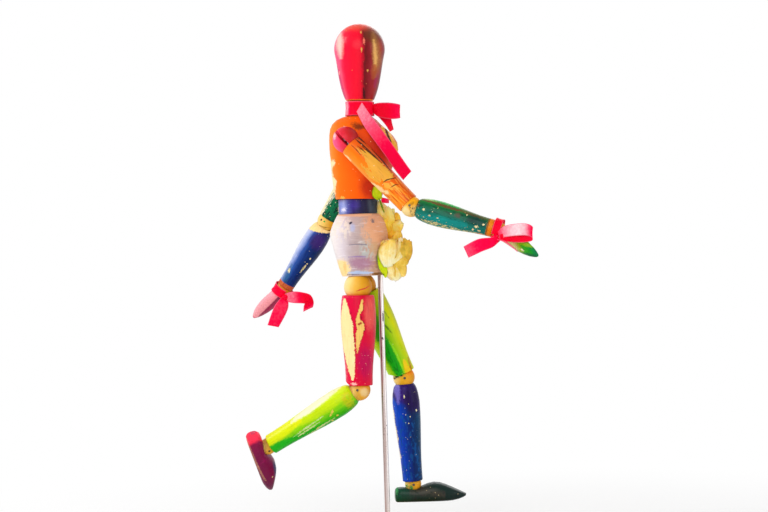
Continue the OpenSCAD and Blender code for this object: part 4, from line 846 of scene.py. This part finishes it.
class Cloth:
    """Thin strips and petals at one place, with a tone painted on their points: 0 deep, 1 pale."""

    def __init__(self, where):
        self.where = where
        self.bm = bmesh.new()
        self.tone = self.bm.verts.layers.float.new("tone")
        self.edge = self.bm.verts.layers.float.new("edge")
        self.area = 0.0

    def row(self, row_points, tone, edges):
        row = []
        for point, edge in zip(row_points, edges):
            vert = self.bm.verts.new(self.where @ (point * MM))
            vert[self.tone], vert[self.edge] = tone, edge
            row.append(vert)
        return row

    def skin(self, rows, closed=False):
        for a, b in zip(rows, rows[1:]):
            for k in range(len(a) - (0 if closed else 1)):
                n = (k + 1) % len(a)
                self.bm.faces.new((a[k], b[k], b[n], a[n]))

    def strip(self, along, across, tones, steps=8, cup=0.25, ripple=0.12, columns=8, seed=0):
        """A ribbon along points, across giving its direction and width, in mm."""
        path, sides, shade = [curve_through([Vector(p) for p in line], steps)
                              for line in (along, across, [(tone, 0, 0) for tone in tones])]
        edges = [2 * k / columns - 1 for k in range(columns + 1)]
        rows = []
        for i, (p, side) in enumerate(zip(path, sides)):
            way = (path[min(i + 1, len(path) - 1)] - path[max(i - 1, 0)]).normalized()
            half = side * RIBBON_WIDTH / (2 * DRAWN_WIDTH)
            lift = half.cross(way).normalized()
            row = []
            for v in edges:
                wave = ripple * noise.noise((i * 0.35 + seed, v * 1.3, seed))
                row.append(p + half * v + lift * (cup * (0.5 - v * v) + wave))
            rows.append(self.row(row, shade[i].x, edges))
            if i:
                width = half.length + sides[i - 1].length * RIBBON_WIDTH / (2 * DRAWN_WIDTH)
                self.area += (p - path[i - 1]).length * width * MM * MM
        self.skin(rows)

    def petal(self, root, tip, open_to, wide, cup, seed, tones, ruffle=1.0, count=18, columns=16):
        """A petal from root to tip, cupped towards a side and ruffled at its rim.

        u runs from 0 at the root to 1 at the tip, and v from -1 to 1 across.
        """
        root, tip = Vector(root), Vector(tip)
        y = (tip - root).normalized()
        x = y.cross(Vector(open_to)).normalized()
        z = x.cross(y)
        long = (tip - root).length
        edges = [2 * k / columns - 1 for k in range(columns + 1)]
        rows = []
        for i in range(count + 1):
            u = i / count
            half = wide / 2 * math.sin(math.radians(180 * (0.07 + 0.85 * u ** 1.15))) ** 0.6
            row = []
            for v in edges:
                rim = max(abs(v), u) ** 4
                wave = ruffle * rim * noise.noise((v * 2.2 + seed, u * 2.6, seed * 1.7))
                fray = 0.06 * long * ruffle * rim * noise.noise((v * 3.4, u * 3.0 + seed, seed))
                bend = cup * long * (u * u * 0.9 - 0.75 * u) + cup * wide * 0.5 * v * v * u ** 0.6
                lengthways = long * u - long * 0.08 * v * v * u + fray
                row.append(root + x * half * v + y * lengthways + z * (bend + wave))
            rows.append(self.row(row, tones[0] + (tones[1] - tones[0]) * u, edges))
        self.skin(rows)

    def bead(self, centre, radius, height=1.0, gathers=0, tone=0.5, rings=14, turns=26):
        """A small round form: a flower's heart, or a tied knot with gathers round it."""
        rows = []
        for i in range(rings + 1):
            lat = math.pi * i / rings
            row = []
            for k in range(turns):
                lon = 2 * math.pi * k / turns
                fold = (0.09 * math.cos(gathers * lon + 1.3 * math.sin(3 * lat)) if gathers
                        else 0.10 * noise.noise((math.cos(lon) * 2, math.sin(lon) * 2, lat * 2)))
                r = radius * (1 + fold * math.sin(lat))
                flat = r * math.sin(lat)
                out = Vector((flat * math.cos(lon), flat * math.sin(lon), r * math.cos(lat) * height))
                row.append(Vector(centre) + out)
            rows.append(self.row(row, tone, [0.0] * turns))
        self.skin(rows, closed=True)

    def make(self, name, body, material, slot, nodes=(), thick=0.0):
        merge_within = 0.0000005
        bmesh.ops.remove_doubles(self.bm, verts=self.bm.verts, dist=merge_within)
        if thick:
            bmesh.ops.solidify(self.bm, geom=self.bm.faces[:], thickness=thick * MM)
        return hang(self.bm, name, body, nodes, material)


def satin():
    """Hot pink satin: a fine weave, lighter woven edges, pale where it turns to the light."""
    f = Finish("ribbon_satin_pink", Vector((0, 0, 0)), (down, front, near_side), 23.0)
    tone = f.node("Attribute", {"attribute_name": "tone"}, out="Fac")
    side = f.size_of(f.node("Attribute", {"attribute_name": "edge"}, out="Fac"))
    thread = f.grain(0.12, detail=1.0)
    drift = f.grain(1.6, detail=4.0, shift=7.0)
    base = f.shades(tone + drift * 0.16 + thread * 0.05,
                    "-.1 d80018, .1 f8002e, .35 fd0048, .6 fc5476, .8 fb9cac, 1.05 fdd8dc")
    base = f.lay(base, ("fe6c90", f.soft(side, 0.84, 0.94) * 0.5),
                 # These pale flecks go only where the tone is pale, within the painted sheen.
                 ("ffe3e8", f.flecks(0.18, 0.35) * f.soft(tone, 0.45, 0.7) * 0.8))
    return f.done(base, 0.38 + drift * 0.05, thread * 0.6 + drift * 0.3, 0.05, {"Specular IOR Level": 0.04})


def petal_cloth(name, stops, seed):
    """Thin petal cloth: veins from the root, deeper colour at the heart, pale towards the rim."""
    f = Finish(name, Vector((0, 0, 0)), (down, front, near_side), seed)
    tone = f.node("Attribute", {"attribute_name": "tone"}, out="Fac")
    side = f.node("Attribute", {"attribute_name": "edge"}, out="Fac")
    veins = f.node("Math", {"operation": "SINE"}, {0: side * 30 + f.wobble * 3})
    patch = f.grain(3.0, detail=4.0, shift=5.0)
    deepest, deep = [stop.split()[1] for stop in stops.split(",")[:2]]
    # The deepest colour along each petal's side edges is painted shade between overlapping petals.
    base = f.lay(f.shades(tone + patch * 0.5, stops), (deep, f.soft(veins, 0.4, 1.0) * 0.14),
                 (deepest, f.soft(f.size_of(side), 0.86, 0.98) * 0.6))
    return f.done(base, 0.55, veins * 0.4 + patch * 0.4, 0.05,
                  {"Subsurface Weight": 0.2, "Subsurface Scale": 0.002})


def bow(name, body, where, finish, strips, ring, knot):
    """A tied ribbon: a ring round the limb, its loops and tails, and the knot that gathers them."""
    radius, start, height, shift, width, tone_at, seed = ring
    cloth = Cloth(where)
    gap, steps = 12, 40
    turns = [math.radians(start + gap / 2 + (360 - gap) * k / steps) for k in range(steps + 1)]
    round_the_limb = [(radius * math.cos(a), radius * math.sin(a) - shift, height) for a in turns]
    cloth.strip(round_the_limb, [(0, 0, width)] * len(turns), [tone_at(a) for a in turns],
                steps=2, cup=0.3, ripple=0.3, seed=seed)
    for i, (along, across, tones) in enumerate(strips):
        cloth.strip(points(along), points(across), *points(tones), seed=seed + 1 + i)
    piece = cloth.make(name + "_bow", body, finish, "ribbon_satin", [name], thick=CLOTH_THICK)
    centre, size, tall, gathers, tone = knot
    tied = Cloth(where)
    tied.bead(centre, size, tall, gathers, tone)
    tied = tied.make(name + "_knot", body, finish, "ribbon_satin")


def tie_bows(finish):
    """Each ribbon's loops and tails: the line along it, its direction and width across, and its tones, whose
    pale end is painted satin sheen.
    """
    def pale_at_the_back(a):
        """Deep pink round the neck, but pale for 48 degrees at its back, fading over 15 more; the pale
        stretch is painted satin sheen.
        """
        return 0.12 + 0.62 * max(0.0, min(1.0, 2.6 - abs(math.degrees(a) % 360 - 116) / 15))

    bow("neck_ribbon", "chest", chest_place, finish, [
        ("-.9 -9.6 54, -1 -12.8 53.3, .5 -18.4 52.7, 3.1 -23 52.5, 5.9 -24.3 52.5, 7.7 -21.2 52.7, "
         "7.1 -15.6 53, 4.6 -11.6 53.4, 2 -9.8 53.9",
         "0 0 5.4, 0 0 8.3, 0 0 9.8, 0 0 9, 0 0 7.8, 0 0 8, 0 0 8.2, 0 0 6.3, 0 0 4.2",
         "0 .05 .1 .3 .35 .1 0 0 0"),
        ("1.6 -10.4 53, 3.6 -13 50.8, 5.8 -15.8 47.8, 7.4 -17.2 44.4, 8.2 -18.4 41.2",
         "-2.6 1.7 -2.5, -3.6 3 -2.2, -4.4 3.6 -2.4, -5 1.8 -2, -5.4 .8 -1.6", ".05 .1 .15 .1 .1"),
        ("-8.1 -2.8 54.8, -13 -6.4 50.8, -17 -10.8 45.4, -19.4 -15.8 39.6, -17.6 -23.6 28.6, "
         "-13.6 -29.2 19.2, -10.6 -33 13.4",
         "1.1 -2.8 5.7, 1.4 -3.2 6, 1.4 -4.4 5.4, 1.6 -5.2 5, 3 -5 4.8, 3.1 -5 4.8, 2.3 -4.4 5.2",
         ".74 .7 .62 .5 .3 .25 .3")],
        (8.6, -88, 54.1, 0.8, 8.4, pale_at_the_back, 1),
        ((0.4, -11.0, 54.1), 2.4, 3.2 / 2.4, 7, 0.05))
    bow("right_wrist_ribbon", "right_forearm", forearm_place("right"), finish, [
        ("-7.4 4 -55.4, -10 .6 -58.4, -12.4 -2.3 -65.6, -12 -3.6 -70, -11 -3.5 -73.6, -10 -1.8 -74.4, "
         "-9.9 0 -71.4, -10.3 1.8 -65.3, -8.6 4.4 -56.8",
         "0 -4.6 1.9, -.7 -6.2 1.7, -.9 -6.6 1.7, -.9 -6.6 1.7, -.7 -6.4 1.7, .4 -6.4 1.7, .9 -6.4 1.8, "
         ".5 -6.4 1.8, 0 -3.6 1.4",
         ".4 .75 1 .85 .3 .2 .1 .05 .05"),
        ("-7.2 5.4 -55.6, -8.8 8.4 -52.8, -11 12 -46.9, -12.5 17.9 -40.5",
         "0 -3.6 1.3, -.2 -5.2 2.4, -.8 -6.3 4, -.7 -5.4 4.5", ".2 .3 .32 .55"),
        ("-7.8 5.6 -55.2, -9.8 6.2 -61, -10.4 9.6 -68.6", "-3.2 .9 -.5, -4.2 1 -.7, -4.2 .8 -1.1",
         ".3 .6 .8")],
        (6.6, 141, -53, 0, 4.6, lambda a: 0.12, 5),
        ((-6.5, 5.2, -53.7), 1.9, 1.8 / 1.9, 6, 0.2))
    bow("left_wrist_ribbon", "left_forearm", forearm_place("left"), finish, [
        ("-3.8 -7.8 -55, -5.4 -10.2 -58.9, -6.8 -12.4 -63.8, -8.4 -15.3 -71.4",
         "-3.2 3 -.9, -5.4 5.4 -2.6, -5.6 5.8 -2.4, -4.6 4.6 -2.5", ".3 .42 .38 .36"),
        ("-3.4 -8 -54, -2.1 -11.8 -50.6, .5 -15.4 -47.9, 2.8 -18 -46.9, 4.2 -19.6 -48.9, 5.3 -20.8 -52.3",
         "-1.4 3.6 3.6, -1 4.7 5.3, -1 4.5 5.3, 1.7 1.7 6.2, 4.1 -1.3 5.3, 4.1 -1.2 5",
         ".62 .6 .15 .08 .08 .6")],
        (6.2, -115, -53.9, 0, 5.6, lambda a: 0.15 + 0.3 * max(0.0, math.sin(a)), 9),
        ((-3.4, -7.2, -54.8), 1.9, 2.4 / 1.9, 6, 0.15))


def blossom(name, petals, heart, radius, material, heart_finish, seed):
    """A blossom round its heart; the petals are grouped by the side they open to.

    Each petal is its root, its tip, its width, its cup, and its tones at root and tip; the tones are partly
    the petals' own yellows and partly painted light and shade, pale where lit and deep gold where shaded.
    """
    c = Cloth(pelvis_place)
    sides = {"away": (1, 0.1, 0), "near": (-1, 0, 0.1), "back": (0, 1, 0.1)}
    rows = [(sides[side], row) for side, text in petals.items() for row in points(text)]
    for i, (open_to, row) in enumerate(rows):
        c.petal(row[:3], row[3:6], open_to, row[6], row[7], seed + i * 1.9, row[8:])
    c.make(name + "_petals", "pelvis", material, "petal_cloth", [name], thick=CLOTH_THICK)
    h = Cloth(pelvis_place)
    h.bead(heart, radius)
    h.make(name + "_heart", "pelvis", heart_finish, "petal_cloth")


def flowers(satin_finish):
    pale_gold = petal_cloth("lower_blossom_petals",
                            "-.2 b4922c, 0 cca238, .25 e8b840, .5 f6cc60, .8 fde2a0, 1.1 fff2d0", 24.0)
    warm_gold = petal_cloth("upper_blossom_petals",
                            "-.2 b87c20, 0 d89a28, .25 f6b830, .5 ffd048, .8 ffe478, 1.1 fff0b4", 25.0)
    heart_finish = petal_cloth("blossom_heart", "0 a85c0c, .5 d08418, 1 e8b040", 26.0)
    green = petal_cloth("sprig_green", "0 64940a, .35 a0c010, .7 c4dc10, 1.1 dcdc20", 27.0)
    blossom("upper_blossom", {
        "away": "-2 -18.6 27 -5 -12.6 44.4 8.5 .45 .4 1.05, -2 -18.6 25 -6.4 -17.8 40.5 8 .5 .3 1, "
                "-2 -18.5 24 -5.6 -25.8 31.6 7.5 .5 .3 .9, -2 -18.6 31 -5.4 -20.6 20.4 8 .5 .1 .3, "
                "-2.6 -18 23 -7 -15.8 33.5 7.5 .5 .2 .6, -1 -19 25 -2.5 -23.6 37 7.5 .4 0 .5",
        "near": "2 -19 26 6 -15 38 10 .4 .1 .8, 2 -19 26 6.5 -22.5 33 9 .4 .1 .7, "
                "2 -19 27 5.5 -19 22 8 .4 0 .4",
        "back": ".5 -18.6 24 -.6 -22.4 39.4 8.5 .5 .2 .9, 1 -18.6 28 1.6 -23.4 21.4 8 .5 .1 .5, "
                "1 -18 24 3.4 -21 36.5 7.5 .5 .1 .7"},
        (0, -19, 27), 1.6, warm_gold, heart_finish, 2.0)
    blossom("lower_blossom", {
        "away": "-18.5 -18.8 4.5 -20.8 -21.6 20.8 15.4 .5 1.05 .5, "
                "-17.6 -19 5 -18.8 -27.2 19.4 11.5 .5 .6 .1, "
                "-16.5 -20 5 -16.5 -31.6 20 13 .45 .1 .2, -14.5 -20 10 -14 -25.4 26 8 .4 0 .4, "
                "-17 -21 10 -18.8 -22.4 -3.4 12 .5 .45 .95, -18 -18 6 -18.4 -29.8 8.4 11 .5 .35 .3, "
                "-17.6 -22 9 -17.4 -27.4 -1.4 9 .5 .1 .5, -16.4 -18 12 -17.2 -15.6 20.6 7 .45 .2 .6",
        "near": "-15 -20 6 -11.2 -20 21 14 .4 .2 .9, -15 -20 6 -11.4 -29 14 13 .4 .1 .7, "
                "-15 -20 8 -12 -22 -1.5 12 .4 .2 .8, -14.5 -20 6 -13.2 -28.6 21.5 11 .3 0 .5",
        "back": "-15.4 -21 6 -15.6 -28.4 21 11.5 .5 .2 .9, -15.4 -21 9 -15.4 -24.6 -2.4 9.5 .5 .2 .7, "
                "-14.8 -21 8 -13 -31 12 9 .5 .1 .6"},
        (-15, -20.5, 10), 2.0, pale_gold, heart_finish, 9.0)
    c = Cloth(pelvis_place)
    c.strip(points("-9.4 -13.4 46, -6.8 -14.4 42.4, -4.4 -15.6 38.4, -3.2 -17.4 33, -3 -18.3 27, "
                   "-3.6 -18.4 20, -7 -17.6 16, -11.6 -15.6 15, -17 -13.4 14"),
            points("1.2 0 .6, 1.2 0 .9, 1.2 0 .6, 1.3 0 0, 1.3 0 0, 1.3 0 0, .8 0 1, .4 0 1.2, .2 .2 1.2"),
            [0.1] * 9, cup=0.3, ripple=0.05, columns=4)
    c.petal((-8.8, -13.4, 45.2), (-13.2, -11, 53.2), (-1, -0.3, 0), 6.4, 0.2, 3.0, (0.4, 1.0), 0.6)
    c.petal((-16.8, -13.2, 14.8), (-19.6, -16.6, -1.6), (-1, -0.4, 0), 5.4, 0.1, 4.0, (0.5, 0.9), 0.4)
    c.make("flower_sprig_stem", "pelvis", green, "leaf_cloth", ["flower_sprig"], thick=0.5)
    c = Cloth(pelvis_place)
    c.strip(points("-7.8 -14.8 45, -6 -15.5 44.7, -5 -17 44.4, -5.2 -18.8 44"),
            points("0 0 2.8, 0 0 3, 0 0 2.8, 0 0 2.2"), [0.2, 0.3, 0.4, 0.6], ripple=0.1)
    c.make("sprig_tie_ribbon", "pelvis", satin_finish, "ribbon_satin", ["sprig_tie"], thick=CLOTH_THICK)


# Light, floor and camera
def area_light(name, place_at, size, power, look_at=(0, 0, 0.18)):
    light = bpy.data.lights.new(name, "AREA")
    light.shape, light.size, light.energy = "DISK", size, power
    lamp = put(name, light)
    lamp.location = place_at
    lamp.rotation_mode = "QUATERNION"
    lamp.rotation_quaternion = (Vector(look_at) - Vector(place_at)).to_track_quat("-Z", "Y")


def background():
    world = bpy.data.worlds.new("studio_world")
    bpy.context.scene.world = world
    world.use_nodes = True
    n = Nodes(world.node_tree)
    lit = n.node("Background", {}, {"Color": (1, 1, 1, 1), "Strength": 0.48})
    seen = n.node("Background", {}, {"Color": (1, 1, 1, 1), "Strength": 1.0})
    n.node("OutputWorld", {}, {0: n.node("MixShader", {}, {0: n.background_rays(), 1: lit, 2: seen})})


def floor():
    """A pale floor that takes the shadow and fades into the white round it."""
    bm = bmesh.new()
    bmesh.ops.create_circle(bm, cap_ends=True, segments=96, radius=6.0)
    mesh = bpy.data.meshes.new("floor")
    bm.to_mesh(mesh)
    bm.free()
    disc = put("floor", mesh)
    disc.location.z = -0.0002
    material = bpy.data.materials.new("floor_pale")
    material.use_nodes = True
    n = Nodes(material.node_tree)
    matt = n.node("BsdfPrincipled", {}, {"Base Color": (0.97, 0.97, 0.97, 1), "Roughness": 0.9})
    glow = n.node("Emission", {}, {"Color": (1, 1, 1, 1)})
    reach = n.node("VectorMath", {"operation": "LENGTH"}, {0: n.node("TexCoord", out="Object")}, out="Value")
    fade = n.soft(reach, 0.12, 0.5)
    surface = n.node("MixShader", {}, {0: fade * n.background_rays(), 1: matt, 2: glow})
    n.node("OutputMaterial", {}, {0: surface})
    mesh.materials.append(material)


def camera():
    """The photograph's view: from the figure's right side, level, turned 5 degrees and rolled a little."""
    data = bpy.data.cameras.new("camera")
    data.sensor_width, data.lens = 36.0, 101.5625    # mm
    data.clip_start, data.clip_end = 0.05, 30
    view = put("camera", data)
    azimuth, roll, distance = math.radians(5), math.radians(1.8), 1.3
    right = Vector((math.sin(azimuth), -math.cos(azimuth), 0))
    back = Vector((-math.cos(azimuth), -math.sin(azimuth), 0))
    x = right * math.cos(roll) - Vector((0, 0, 1)) * math.sin(roll)
    look_at = Vector((0, 0, 0.1754)) + right * 0.00264
    view.matrix_world = place(look_at + back * distance, x, back)
    bpy.context.scene.camera = view


def main():
    bpy.context.scene.view_settings.view_transform = "Standard"
    background()
    area_light("key_light", (-0.22, 1.19, 1.05), 0.6, 9.4)
    area_light("front_light", (-1.35, 0.1, 0.75), 1.1, 7.9)
    area_light("fill_light", (-0.5, -1.3, 0.4), 0.9, 3.6)
    area_light("rim_light", (1.1, -0.2, 0.8), 0.8, 3)
    floor()
    camera()
    satin_finish = satin()
    tie_bows(satin_finish)
    flowers(satin_finish)
    paint_metal_and_base()
    paint_balls()
    for paint_piece in (paint_head, paint_waist, paint_right_upper_arm, paint_right_forearm,
                        paint_left_upper_arm, paint_left_forearm, paint_right_thigh, paint_left_thigh,
                        paint_right_shin, paint_left_shin):
        paint_piece()
    paint_chest(shaped_copy("chest"))
    paint_pelvis(shaped_copy("pelvis"))
    for side in ("right", "left"):
        paint_hand(side, shaped_copy(side + "_hand"))
        paint_foot(side, shaped_copy(side + "_foot"))


main()
